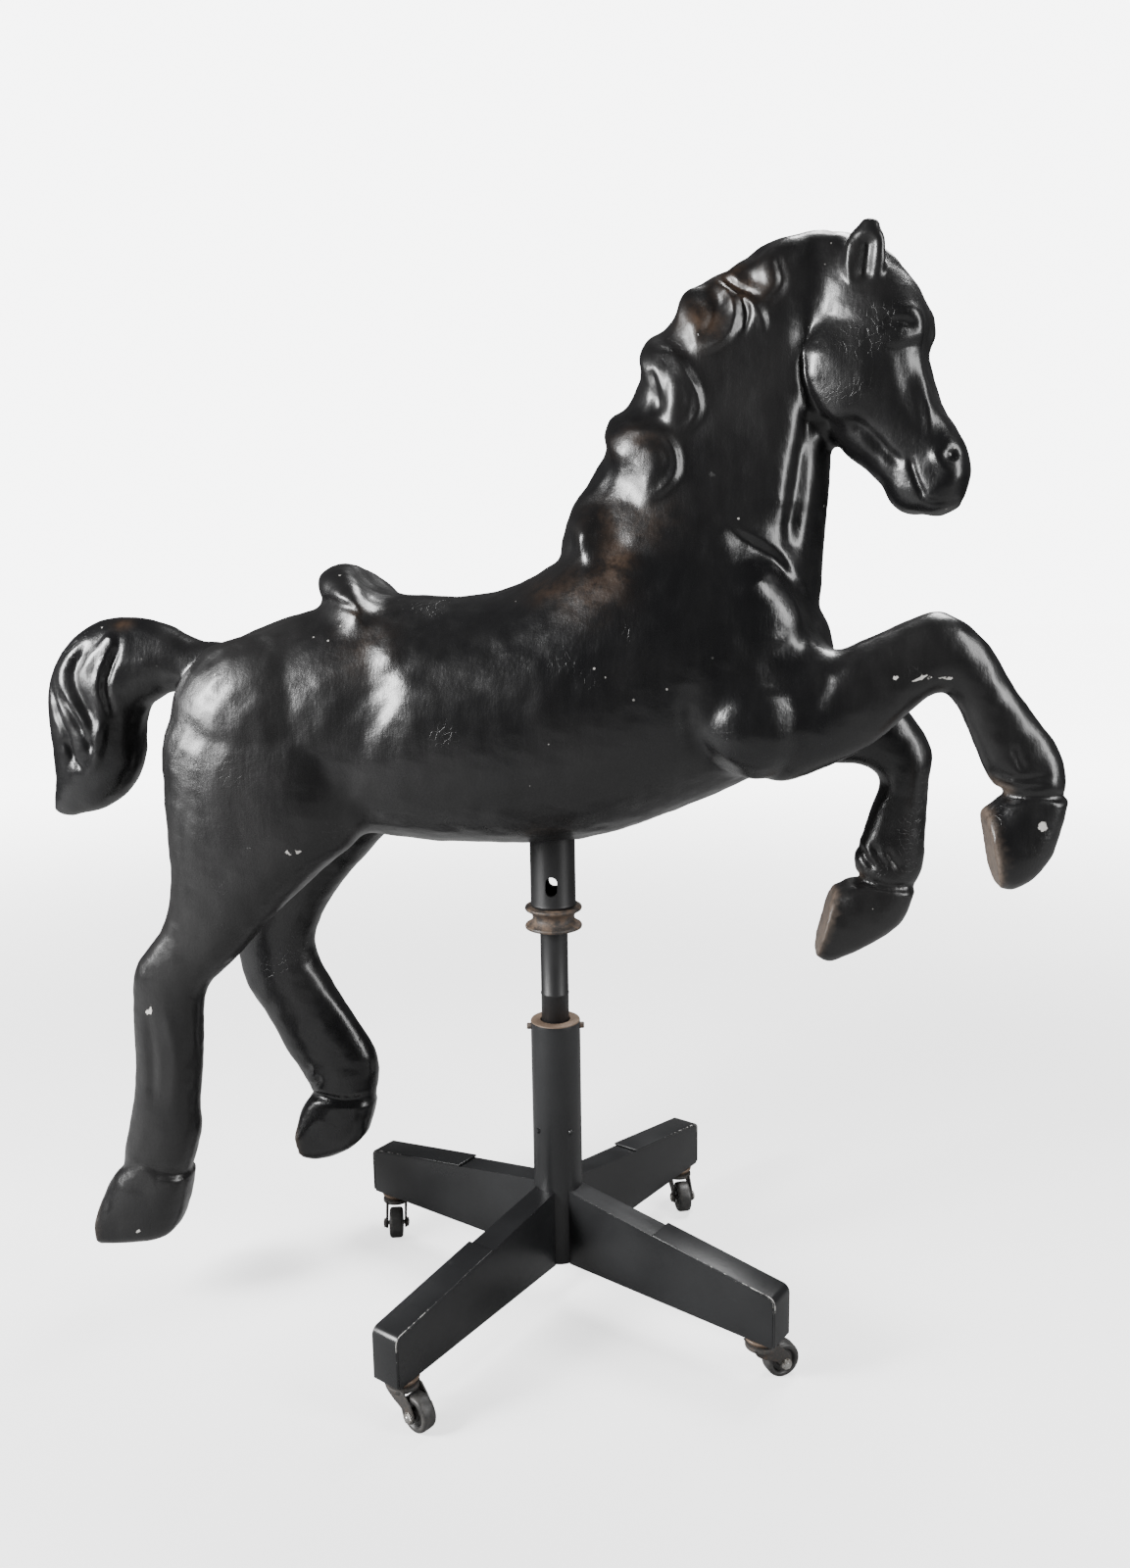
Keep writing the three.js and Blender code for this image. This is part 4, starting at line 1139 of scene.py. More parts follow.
    def marks(self) -> list[Stroke | Dab]:
        """The carving: cuts below zero, ridges above, from the head back to the hooves.

        Returns:
            The marks, in the order in which they are added up.
        """
        head, left, right = Part.HEAD, Side.LEFT, Side.RIGHT
        return [
            # the face
            Stroke(((104, 1192), (110, 1169), (116, 1140), (117, 1117), (126, 1078), (131, 1046)), 4.5,
                   3.0, (8, 16), head),
            Stroke(((98, 1138), (104, 1116), (114, 1085), (124, 1058)), 7.0, -2.0, (10, 20), head),
            Dab((96, 34, 1152), (15, 16, 11), 4.2, head),
            Dab((100, 30, 1176), (17, 16, 9), 4.5, head),
            Dab((108, 20, 1160), (10, 12, 16), 4.0, head),
            Dab((148, 26, 1036), (13, 14, 14), 4.0, head),
            Stroke(((84, 1158), (92, 1165), (101, 1166), (110, 1160)), 2.8, -3.0, (18, 26), head),
            Stroke(((86, 1144), (94, 1139), (103, 1140), (110, 1146)), 2.8, -1.8, (18, 26), head),
            Stroke(((44, 1074), (66, 1062), (88, 1038), (105, 1025)), 7.0, -4.2, (12, 22), head),
            Stroke(((4, 1148), (5, 1118), (16, 1086), (36, 1062)), 6.0, -5.5, (26, 36), head),
            Stroke(((110, 1036), (116, 1016), (124, 998), (129, 988)), 3.5, -2.6, (12, 20), head),
            Stroke(((128, 989), (144, 987), (158, 990)), 3.0, -2.2, (0, 4), head),
            Dab((152, 26, 1035), (6, 12, 6), -7.5, head),
            Stroke(((134, 1040), (141, 1025), (151, 1017)), 3.6, 2.0, (12, 20), head),
            Stroke(((67, 1252), (66, 1232), (62, 1206)), 9.0, -9.0, (34, 42), head),
            Stroke(((50, 1252), (47, 1232), (50, 1206)), 3.5, 2.0, (34, 42), head),
            # the neck and the shoulder
            Stroke(((293, 1105), (282, 1056), (273, 997), (268, 940)), 10.0, -7.0, (20, 40)),
            Stroke(((292, 1185), (278, 1155), (270, 1118), (263, 1060), (256, 997), (252, 950)), 34.0,
                   10.5, (25, 45)),
            Stroke(((205, 968), (229, 953), (257, 935), (275, 909), (294, 885)), 19.0, 4.0, (30, 50),
                   step=3.0),
            Stroke(((179, 966), (198, 947), (217, 922), (243, 890)), 20.0, 3.5, (60, 80)),
            # the mane
            Stroke(((251, 1244), (259, 1217), (252, 1202), (238, 1194)), 5.0, -4.0, (8, 16)),
            Stroke(((195, 1226), (214, 1212), (236, 1199)), 4.5, -5.0, (8, 16)),
            Stroke(((186, 1223), (202, 1207), (209, 1189), (205, 1168), (193, 1156), (177, 1148)), 5.5,
                   5.0, (10, 20)),
            Stroke(((189, 1208), (191, 1187), (182, 1170), (167, 1160)), 9.0, -5.0, (10, 20)),
            Stroke(((214, 1206), (222, 1186), (218, 1164)), 4.0, -4.5, (10, 20)),
            Stroke(((208, 1210), (228, 1194), (238, 1176), (240, 1161)), 5.0, 3.0, (10, 20)),
            Stroke(((126, 1152), (145, 1145), (158, 1127), (171, 1102), (171, 1083), (155, 1063)), 6.0,
                   4.0, (12, 22)),
            Stroke(((120, 1134), (124, 1109), (130, 1082)), 6.0, -5.0, (12, 22)),
            Stroke(((93, 1072), (114, 1068), (136, 1062), (149, 1040), (146, 1018), (123, 996)), 6.0, 4.5,
                   (14, 24)),
            Dab((184, 52, 1190), (20, 60, 24), -7.0),
            Dab((224, 42, 1216), (18, 60, 12), -5.0),
            Dab((112, 62, 1030), (16, 60, 20), -3.5),
            Dab((136, 52, 1108), (10, 60, 24), -4.0),
            # the tail
            Stroke(((-506, 852), (-520, 820), (-529, 791), (-522, 754)), 5.0, -5.0, (8, 18)),
            Stroke(((-590, 787), (-572, 761), (-561, 739), (-552, 715)), 5.0, -5.0, (8, 18)),
            Stroke(((-589, 732), (-581, 709), (-570, 692)), 4.5, -4.0, (8, 18)),
            Stroke(((-534, 754), (-542, 732), (-548, 705)), 5.0, 3.0, (8, 18)),
            Stroke(((-500, 855), (-528, 826), (-536, 792), (-524, 760)), 7.0, 3.4, (8, 18)),
            Stroke(((-560, 848), (-584, 812), (-574, 776), (-556, 744), (-566, 706)), 7.5, 3.4, (8, 18)),
            Stroke(((-548, 846), (-568, 812), (-560, 778), (-544, 748)), 6.0, -4.0, (8, 18)),
            Stroke(((-606, 800), (-596, 762), (-582, 728), (-588, 690)), 4.5, -3.5, (8, 18)),
            Stroke(((-398, 837), (-424, 819), (-441, 801), (-457, 786)), 6.0, -2.0, (4, 14)),
            # the saddle
            Stroke(((-182, 902), (-166, 869), (-158, 820)), 16.0, 3.0, (60, 90)),
            Stroke(((-130, 818), (-90, 808), (-50, 800)), 10.0, -1.6, (90, 120)),
            Stroke(((-262, 893), (-232, 892), (-200, 884), (-184, 872)), 5.0, -3.5, (30, 50)),
            Dab((-178, 135, 797), (36, 45, 62), -11.0),
            # the root of the forearm and the elbow
            Stroke(((172, 806), (164, 773), (172, 740), (196, 715), (236, 699)), 12.0, -5.0, (60, 90)),
            Stroke(((312, 815), (304, 796), (296, 772)), 9.0, -3.0, (50, 80)),
            # the creases over the hooves
            Stroke(((474, 690), (500, 685), (530, 686), (560, 684)), 4.5, -4.0, (30, 45), side=right),
            Stroke(((478, 711), (508, 704), (540, 708)), 3.2, -2.6, (70, 90), side=right),
            Stroke(((482, 699), (508, 694), (536, 698)), 3.0, -2.4, (70, 90), side=right),
            Stroke(((500, 740), (506, 724), (513, 710)), 4.0, -2.4, (70, 90), side=right),
            Stroke(((340, 552), (362, 552), (396, 545), (432, 546)), 4.5, -4.0, (30, 45), side=left),
            Stroke(((362, 592), (369, 577), (380, 566)), 3.6, -3.2, (30, 45), side=left),
            Stroke(((377, 595), (385, 580), (395, 569)), 3.6, -3.2, (30, 45), side=left),
            Stroke(((393, 592), (400, 578), (410, 567)), 3.6, -3.0, (30, 45), side=left),
            Stroke(((-519, 217), (-492, 223), (-464, 214), (-444, 208)), 6.0, -2.8, (30, 45), side=right),
            Stroke(((-348, 236), (-322, 240), (-290, 236), (-262, 240)), 5.0, -4.0, (30, 45), side=left),
            Stroke(((-355, 262), (-345, 272), (-336, 281)), 3.6, -3.0, (30, 45), side=left),
            Stroke(((-345, 246), (-334, 257), (-322, 267)), 3.6, -3.0, (30, 45), side=left),
            # the cords and bones of the hind leg
            Stroke(((-470, 425), (-468, 360), (-474, 300)), 7.0, -2.4, (60, 80), side=right),
            Stroke(((-446, 425), (-440, 360), (-448, 300)), 7.0, 1.8, (60, 80), side=right),
        ]

    def sculpted(self) -> Surface:
        """The finished skin: masses run together, hollows filled, carved, lumped and thinned.

        Returns:
            The skin, within the limit of faces.
        """
        voxel = self.voxel
        body = Clay(modified(together(self.flesh()), "REMESH", mode="VOXEL", voxel_size=self.flesh_voxel,
                             adaptivity=0.0))
        body.fill_hollows(*self.flesh_filling)
        body.soften(self.flesh_softening)
        whole = together([body.surface, *self.head_features(), *self.strands_and_hooves()])
        clay = Clay(modified(whole, "REMESH", mode="VOXEL", voxel_size=voxel, adaptivity=0.0))
        LOG.info("the clay has %d corners", len(clay.points))
        clay.fill_hollows(*self.skin_filling)
        clay.soften(self.skin_softening[0])
        clay.carve(self.marks())
        clay.soften(self.skin_softening[1])
        clay.lump(*self.lumps)
        self.keep_in_box(clay)
        faces = 2 * len(clay.surface.quads)
        if faces > self.face_limit:
            return modified(clay.surface, "DECIMATE", ratio=self.face_limit / faces)
        return clay.surface

    def keep_in_box(self, clay: Clay) -> None:
        """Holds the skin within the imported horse's own box.

        Args:
            clay: the skin, whose corners are moved.
        """
        low, high = (np.array(corner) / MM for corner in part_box("horse"))
        axis = (np.array(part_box("column")[0]) + np.array(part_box("column")[1])) / 2 / MM
        shift = np.array([axis[0], axis[1], DATUM])
        clay.points[:] = np.clip(clay.points, low - shift, high - shift)

    def wear(self, points: np.ndarray) -> dict[str, np.ndarray]:
        """How worn, chipped and dusty the skin is.

        Wear falls off as exp(-(the squared distance over the patch's half sizes)), a chip falls off
        evenly to nought at twice its size, and dust as exp(-(distance/dust_width)^2) from a line.

        Args:
            points: the skin's corners (n, 3).

        Returns:
            A number from 0 to 1 for each corner, under the finish's own names.
        """
        worn = np.zeros(len(points))
        for x, z, length, height, share in self.worn_patches:
            near = ((points[:, 0] - x) / length) ** 2 + ((points[:, 2] - z) / height) ** 2
            worn = np.maximum(worn, share * np.exp(-near))
        chip = np.zeros(len(points))
        right = (points[:, 1] < 0).astype(float)
        for x, z, size in self.chips:
            gap = np.hypot(points[:, 0] - x, points[:, 2] - z)
            chip = np.maximum(chip, right * (1 - gap / (2 * size)).clip(0, 1))
        dust = np.zeros(len(points))
        for x, z, u, w, side, share in self.dusty_edges:
            way = np.array([u - x, w - z], float)
            t = ((points[:, [0, 2]] - (x, z)) @ way / (way @ way)).clip(0, 1)
            gap = np.linalg.norm(points[:, [0, 2]] - (x, z) - t[:, None] * way, axis=1)
            dust = np.maximum(
                dust, share * np.exp(-((gap / self.dust_width) ** 2)) * (points[:, 1] * side > 20))
        return {"worn": worn, "chip": chip, "dust": dust}

    def build(self, shop: Shop) -> None:
        """Sculpts the horse and sets it on its pole.

        Args:
            shop: where the piece is set down.
        """
        surface = self.sculpted()
        marks = self.wear(surface.corners)
        shop.set_down(surface, "horse_skin", "horse_paint", ROOT, ("horse",), sharp=180.0,
                      marks=marks)


# ---------------------------------------------------------------- the stand
def turned(profile: Rows, sides: int) -> Surface:
    """A turned piece: corners of (radius, height) carried round the upright axis.

    A corner at an angle a is (radius*cos a, radius*sin a, height). The profile runs from axis to axis or
    closes on itself.

    Args:
        profile: the corners, first and last on the axis for a solid piece.
        sides: flats round the piece.

    Returns:
        The piece's surface.
    """
    rows = np.array(profile, float)
    angle = 2 * np.pi * np.arange(sides) / sides
    ring = np.stack([np.cos(angle), np.sin(angle)], -1)
    solid = rows[0, 0] < 1e-6
    inner = rows[1:-1] if solid else rows
    rings = np.concatenate([inner[:, None, :1] * ring, np.repeat(inner[:, None, 1:], sides, 1)], -1)
    if solid:
        return skin(rings, np.array([0, 0, rows[0, 1]]), np.array([0, 0, rows[-1, 1]]))
    r, s = len(rows), sides
    here, after = np.arange(s), (np.arange(s) + 1) % s
    row, below = (np.arange(r) * s)[:, None], (((np.arange(r) + 1) % r) * s)[:, None]
    quads = np.stack([row + here, row + after, below + after, below + here], -1).reshape(-1, 4)
    return Surface(rings.reshape(-1, 3), quads).outward()


def extruded(outline: np.ndarray, low: float, high: float, round_off: float = 0.6) -> Surface:
    """A plate of an outline (n, 2) from low to high along the third axis, its edges rounded off.

    Each layer of corners is the outline drawn towards its own middle by an inset that runs
    as a quarter circle from round_off to nought.

    Args:
        outline: the corners in order.
        low: the plate's one face.
        high: its other face.
        round_off: the edges' radius.

    Returns:
        The plate's surface.
    """
    way = np.roll(outline, -1, 0) - np.roll(outline, 1, 0)
    way /= np.linalg.norm(way, axis=1)[:, None]
    inward = np.stack([-way[:, 1], way[:, 0]], -1)
    area = np.sum(outline[:, 0] * np.roll(outline[:, 1], -1) - outline[:, 1] * np.roll(outline[:, 0], -1))
    inward *= np.sign(area)
    turn = np.linspace(0, np.pi / 2, 4)
    inset = round_off * (1 - np.sin(turn))
    insets = np.concatenate([inset, inset[::-1]])
    rise = round_off * (1 - np.cos(turn))
    heights = np.concatenate([low + rise, (high - rise)[::-1]])
    layers = [np.column_stack([outline + inward * i, np.full(len(outline), h)])
              for i, h in zip(insets, heights)]
    middle = outline.mean(0)
    return skin(np.stack(layers), np.array([*middle, low]), np.array([*middle, high]))


@dataclass
class Pole:
    """The socket under the belly, the spool collar, the post and the column with its screws."""

    socket: Sizes = (27.0, 21.5, 527.3, 640.0)  # outer and bore radius, bottom, top
    slot: Sizes = (7.0, 5.0, 556.0, 94.0)  # end radius, half straight, height, yaw
    spool: Sizes = (500.0, 527.0, 34.4, 25.0)  # bottom, top, flange and waist radius
    post: Triple = (16.7, 120.0, 499.7)  # radius, bottom, top
    post_ring: Rows = ((0.0, 416.2), (0.5, 416.8), (0.5, 418.4), (0.0, 419.0))  # how far out, height
    column: Sizes = (30.15, 17.4, 73.0, 384.0)  # as the socket
    rim: float = 3.5  # how far the rust comes down from the column's top
    screw: Triple = (4.0, 375.0, 9.0)  # radius, height, yaw
    bolt: Pair = (3.5, 247.0)  # radius, height
    bolt_yaws: Pair = (-48.0, -132.0)

    def socket_pipe(self) -> Surface:
        """The pipe under the belly with its cross slot and a weld bead at its foot.

        Returns:
            The pipe's surface.
        """
        outer, bore, low, high = self.socket
        wall = turned(
            ((bore, low), (outer - 0.6, low), (outer, low + 0.8), (outer + 0.9, low + 3),
             (outer, low + 5.5), (outer, high), (bore, high)), 72)
        radius, half, height, yaw = self.slot
        angle = np.linspace(0, np.pi, 13)
        end = np.stack([radius * np.cos(angle), half + radius * np.sin(angle)], -1)
        cutter = extruded(np.vstack([end, -end]), -60, 60, 0.01)
        turn = Matrix.Translation((0, 0, height)) @ Matrix.Rotation(math.radians(yaw - 90), 4, "Z")
        tool = linked("slot_tool", mesh_of(cutter.placed(turn @ UPRIGHT), "slot_tool"))
        blank = linked("blank", mesh_of(wall, "blank"))
        cut = blank.modifiers.new("cut", "BOOLEAN")
        cut.object, cut.operation, cut.solver = tool, "DIFFERENCE", "EXACT"
        split = blank.modifiers.new("split", "TRIANGULATE")
        split.min_vertices = 4
        mesh = bpy.data.meshes.new_from_object(blank.evaluated_get(bpy.context.evaluated_depsgraph_get()))
        out = surface_of(mesh)
        bpy.data.objects.remove(tool)
        bpy.data.objects.remove(blank)
        return out

    def collar(self) -> Surface:
        """The spool: two thin flanges with a waist between them.

        Returns:
            The spool's surface.
        """
        low, high, flange, neck = self.spool
        lower = [(0, low), (flange - 2, low), (flange - 0.6, low + 0.6), (flange, low + 2.4),
                 (flange - 0.8, low + 4.2), (flange - 3, low + 5)]
        waist = [(neck + 4, low + 7), (neck + 0.8, low + 10), (neck, low + 13.5), (neck + 0.8, high - 10),
                 (neck + 4, high - 7)]
        upper = [(flange - 3, high - 5), (flange - 0.8, high - 4.2), (flange, high - 2.4),
                 (flange - 0.6, high - 0.6), (flange - 2, high), (0, high)]
        return turned(tuple(lower + waist + upper), 72)

    def build(self, shop: Shop) -> None:
        """Makes the pole's pieces.

        Args:
            shop: where they are set down.
        """
        pipe = self.socket_pipe()
        high = pipe.corners[:, 2]
        marks = {"rusted": ((high - 600) / 30).clip(0, 1) + ((540 - high) / 14).clip(0, 1)}
        shop.set_down(pipe, "socket", "pole_paint", ROOT, ("socket_pipe",), marks=marks)
        shop.set_down(self.collar(), "spool", "rusted_steel", ROOT, ("spool_collar",))
        r, low, high = self.post
        ring = [(r + out, height) for out, height in self.post_ring]
        bar = turned(
            ((0, low), (r - 0.6, low), (r, low + 0.6), *ring, (r, high - 0.6), (r - 0.6, high),
             (0, high)),
            48)
        shop.set_down(bar, "post_bar", "pole_paint", ROOT, ("post",))
        outer, bore, low, high = self.column
        wall = turned(
            ((bore, low), (outer - 0.8, low), (outer, low + 0.8), (outer, high - 16), (outer, high - 8),
             (outer, high - 1.6), (outer - 0.5, high - 0.5), (outer - 1.6, high), (bore + 1, high),
             (bore, high - 1)), 72)
        column = shop.set_down(
            wall, "column_tube", "stand_paint", ROOT, ("column",),
            marks={"rusted": ((wall.corners[:, 2] - high + 14) / 10).clip(0, 1)})
        column.data.materials.append(shop.finishes["rusted_steel"])
        middles = np.zeros(len(column.data.polygons) * 3, np.float32)
        column.data.polygons.foreach_get("center", middles)
        tops = middles[2::3] > (high + DATUM - self.rim) * MM
        column.data.polygons.foreach_set("material_index", tops.astype(np.int32))
        self.fasteners(shop)

    def fasteners(self, shop: Shop) -> None:
        """The two set screws of the column and its two bolt heads, each turned about its own radius.

        Args:
            shop: where they are set down.
        """
        radius, height, yaw = self.screw
        for name, turn in (("set_screw_front", 0.0), ("set_screw_rear", 180.0)):
            shape = ((0, 17.5), (radius - 0.4, 17.5), (radius, 18), (radius, 34), (radius - 0.8, 35),
                     (1.6, 35), (1.4, 33.4), (0, 33.4))
            self.fastener(shop, name, shape, height, yaw + turn, "rusted_steel")
        radius, height = self.bolt
        for name, yaw in zip(("column_bolt_front", "column_bolt_rear"), self.bolt_yaws):
            shape = ((0, 22.3), (radius - 0.3, 22.3), (radius, 22.6), (radius, 31), (radius - 1.2, 32.6),
                     (0, 33))
            self.fastener(shop, name, shape, height, yaw, "stand_paint")

    def fastener(self, shop: Shop, name: str, profile: Rows, height: float, yaw: float, slot: str) -> None:
        """One screw or bolt head.

        Args:
            shop: where it is set down.
            name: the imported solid.
            profile: its turned profile, whose heights are distances from the column's axis.
            height: how high it sits.
            yaw: which way it faces, in degrees.
            slot: its finish and its material slot.
        """
        lay = Matrix.Rotation(math.radians(yaw), 4, "Z") @ Matrix.Rotation(math.pi / 2, 4, "Y")
        surface = turned(profile, 24).placed(Matrix.Translation((0, 0, height)) @ lay)
        shop.set_down(surface, name + "_head", slot, ROOT, (name,))


@dataclass
class Foot:
    """The four folded arms and the straps over their ends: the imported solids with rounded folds."""

    fold: float = 2.4
    strap_fold: float = 1.1
    # the pale steel colour on the upper folds is real wear at the arms' ends and a painted highlight
    # elsewhere, above all along the near edge of the right front arm
    wear_and_highlight: float = 0.36  # on any upper fold
    more_wear_and_highlight: float = 0.3  # at the arms' ends, and along the near edge of the right front arm
    end_from: float = 296.0

    def build(self, shop: Shop) -> None:
        """Rounds the folds of the arms and straps and paints them.

        Args:
            shop: where they are set down.
        """
        for side in SIDES:
            for part, width in (("arm_", self.fold), ("strap_", self.strap_fold)):
                self.folded(shop, part + side, width)

    def folded(self, shop: Shop, node: str, width: float) -> None:
        """A merged copy of a packed sheet-metal solid with its flat faces whole and its edges rounded.

        Args:
            shop: where the piece is set down.
            node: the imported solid.
            width: the rounding in millimetres.
        """
        body = bmesh.new()
        body.from_mesh(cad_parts[node].data)
        bmesh.ops.remove_doubles(body, verts=body.verts, dist=0.00002)
        bmesh.ops.dissolve_limit(body, angle_limit=math.radians(1.0), verts=body.verts, edges=body.edges)
        sharp = [e for e in body.edges if e.is_manifold and e.calc_face_angle() > math.radians(20)]
        bmesh.ops.bevel(body, geom=sharp, offset=width * MM, segments=4, profile=0.5, affect="EDGES",
                        clamp_overlap=True, loop_slide=True, material=1)
        bmesh.ops.triangulate(body, faces=[f for f in body.faces if len(f.verts) > 4])
        mesh = bpy.data.meshes.new(node + "_folded")
        body.to_mesh(mesh)
        body.free()
        on_fold = self.fold_corners(mesh)
        surface = surface_of(mesh)
        surface.corners = surface.corners / MM - np.array([shop.axis[0], shop.axis[1], 0.0])
        x, y, z = surface.corners.T
        upper = (z > (z.min() + z.max()) / 2) * on_fold
        # real wear at the arms' ends; a painted highlight along the upper folds and the near edge of the
        # right front arm
        wear_and_highlight = self.wear_and_highlight + self.more_wear_and_highlight * ((np.hypot(x, y) - self.end_from) / 10).clip(0, 1)
        if node.endswith("right_front"):
            wear_and_highlight = wear_and_highlight + self.more_wear_and_highlight * (x + y < 0)
        marks = {"wear_and_highlight": wear_and_highlight * upper}
        shop.set_down(surface, node + "_folded", "stand_paint", ROOT, (node,), 0.0, 28.0,
                      marks)

    @staticmethod
    def fold_corners(mesh: bpy.types.Mesh) -> np.ndarray:
        """Finds the corners in the middle of the rounded folds, where paint wears off first and where the
        upper folds carry a painted highlight.

        Args:
            mesh: a mesh whose rounded folds carry material 1 and whose flat faces carry material 0.

        Returns:
            For each corner, 1 where every face around it belongs to a fold, else 0.
        """
        kinds = np.zeros(len(mesh.polygons), dtype=np.int32)
        mesh.polygons.foreach_get("material_index", kinds)
        sizes = np.zeros(len(mesh.polygons), dtype=np.int32)
        mesh.polygons.foreach_get("loop_total", sizes)
        corner = np.zeros(len(mesh.loops), dtype=np.int32)
        mesh.loops.foreach_get("vertex_index", corner)
        lowest = np.ones(len(mesh.vertices))
        np.minimum.at(lowest, corner, np.repeat(kinds, sizes).astype(float))
        return lowest


@dataclass
class Casters:
    """Four swivel casters: a bearing under the arm, a crown with two legs, a wheel and its nuts."""

    stem_at: float = 285.0
    arm_yaw: float = 61.65
    yaws: Sizes = (-72.0, -77.0, -35.0, 29.0)
    wheel_radius: float = 20.5
    half_width: float = 9.0
    trail: float = 25.0
    top: float = 54.7
    plate_top: float = 46.5
    crown_radius: float = 18.5
    leg_inner: float = 11.5
    leg_thickness: float = 2.5

    def bearing(self) -> Surface:
        """The two races with a groove between them, and the king pin's head below.

        Returns:
            The bearing's surface.
        """
        t, p, r = self.top, self.plate_top, 19.0
        return turned(
            ((0, p - 6.2), (4.5, p - 6.2), (6, p - 5.6), (6.2, p - 4), (6, p - 3.4), (3.8, p - 3.3),
             (3.8, p + 0.3), (r - 6, p + 0.3), (r - 4, p + 1.2), (r - 2.2, p + 3), (r - 1.6, p + 4),
             (r - 1.2, p + 4.4), (r - 0.4, p + 5), (r, p + 6), (r, t - 1.2), (r - 0.8, t - 0.2),
             (r - 2, t), (0, t)), 48)

    def leg(self) -> np.ndarray:
        """The outline of a fork leg: from the crown down to a rounded eye at the axle.

        Returns:
            Its corners as (forward, up).
        """
        eye = np.linspace(0.15, -np.pi - 0.1, 11)
        a, h = self.trail, self.wheel_radius
        front = ((15.5, self.plate_top - 1.0), (21, 40), (27, 33), (a + 7.5, h + 3))
        back = ((a - 7.2, h - 1), (13, 25.5), (-2, 32), (-12, 38.5), (-15.5, self.plate_top - 1.0))
        front, back = (smooth_rows(np.array(line, float), 4) for line in (front, back))
        round_eye = np.stack([a + 7.4 * np.cos(eye), h + 7.4 * np.sin(eye)], -1)
        return np.vstack([front[:-1], round_eye, back[1:]])

    def fork(self) -> Surface:
        """The crown, domed at its rim, and its two legs.

        Returns:
            The fork's surface.
        """
        p, r = self.plate_top, self.crown_radius
        crown = turned(
            ((4.4, p - 3), (r - 3.5, p - 3), (r - 1.2, p - 3.6), (r - 0.6, p - 4.6), (r, p - 4.4),
             (r, p - 2), (r - 1, p - 0.5), (r - 2.6, p), (4.4, p)), 48)
        legs = [
            extruded(self.leg(), low, low + self.leg_thickness, 0.6).placed(UPRIGHT)
            for low in (self.leg_inner, -self.leg_inner - self.leg_thickness)
        ]
        return together([crown, *legs])

    def wheel(self) -> Surface:
        """The wheel, dished between its hub and its rim, with a rounded tread.

        Returns:
            The wheel's surface.
        """
        r, w = self.wheel_radius, self.half_width
        half = [(4.3, w - 0.6), (6.6, w - 0.6), (7.2, w - 1.4), (8, w - 3.6), (12.6, w - 3.8),
                (14.2, w - 1), (15, w - 0.3), (16.4, w), (18, w - 0.2), (19.6, w - 1.2),
                (20.2, w - 2.6), (r, w - 4.6)]
        ring = turned(tuple(half + [(radius, -high) for radius, high in half[::-1]]), 64)
        return ring.placed(Matrix.Translation((self.trail, 0, r)) @ UPRIGHT)

    def nuts(self) -> Surface:
        """The axle with a hexagon nut and a washer on each side.

        Returns:
            Their surfaces as one.
        """
        outside = self.leg_inner + self.leg_thickness + 0.3
        shank = turned(((0, -outside - 3.4), (2.6, -outside - 3.4), (3, -outside - 3), (3, outside + 3),
                        (2.6, outside + 3.4), (0, outside + 3.4)), 24)
        pieces = [shank]
        for side in (-1, 1):
            flip = Matrix.Rotation(0 if side > 0 else math.pi, 4, "X")
            nut = turned(((3, outside + 0.6), (5.4, outside + 0.6), (6, outside + 1), (6, outside + 2.4),
                          (5.2, outside + 2.8), (3, outside + 2.8)), 6)
            washer = turned(((3, outside), (6.4, outside), (6.6, outside + 0.2), (6.6, outside + 0.5),
                             (3, outside + 0.5)), 32)
            pieces += [nut.placed(flip), washer.placed(flip)]
        lay = Matrix.Translation((self.trail, 0, self.wheel_radius)) @ UPRIGHT
        return together([piece.placed(lay) for piece in pieces])

    def build(self, shop: Shop) -> None:
        """Makes the four casters, each turned its own way.

        Args:
            shop: where they are set down.
        """
        for quarter, (side, yaw) in enumerate(zip(SIDES, self.yaws)):
            arm = math.radians(self.arm_yaw + 90 * quarter)
            at = Matrix.Translation((self.stem_at * math.cos(arm), self.stem_at * math.sin(arm), 0))
            place = at @ Matrix.Rotation(math.radians(yaw), 4, "Z")
            bearing = self.bearing()
            rust = {"rusted": ((bearing.corners[:, 2] - self.plate_top) / 5).clip(0, 1)}
            for surface, name, finish, body, marks in (
                (bearing, "caster_bearing_", "rusted_steel", ROOT, rust),
                (self.fork(), "caster_fork_", "caster_steel", "swivel_" + side, None),
                (self.nuts(), "caster_axle_", "axle_steel", "swivel_" + side, None),
                (self.wheel(), "caster_wheel_", "wheel_plastic", "wheel_" + side, None),
            ):
                shop.set_down(surface.placed(place), name + side + "_made", finish, body,
                              (name + side,), 0.0, 35.0, marks)


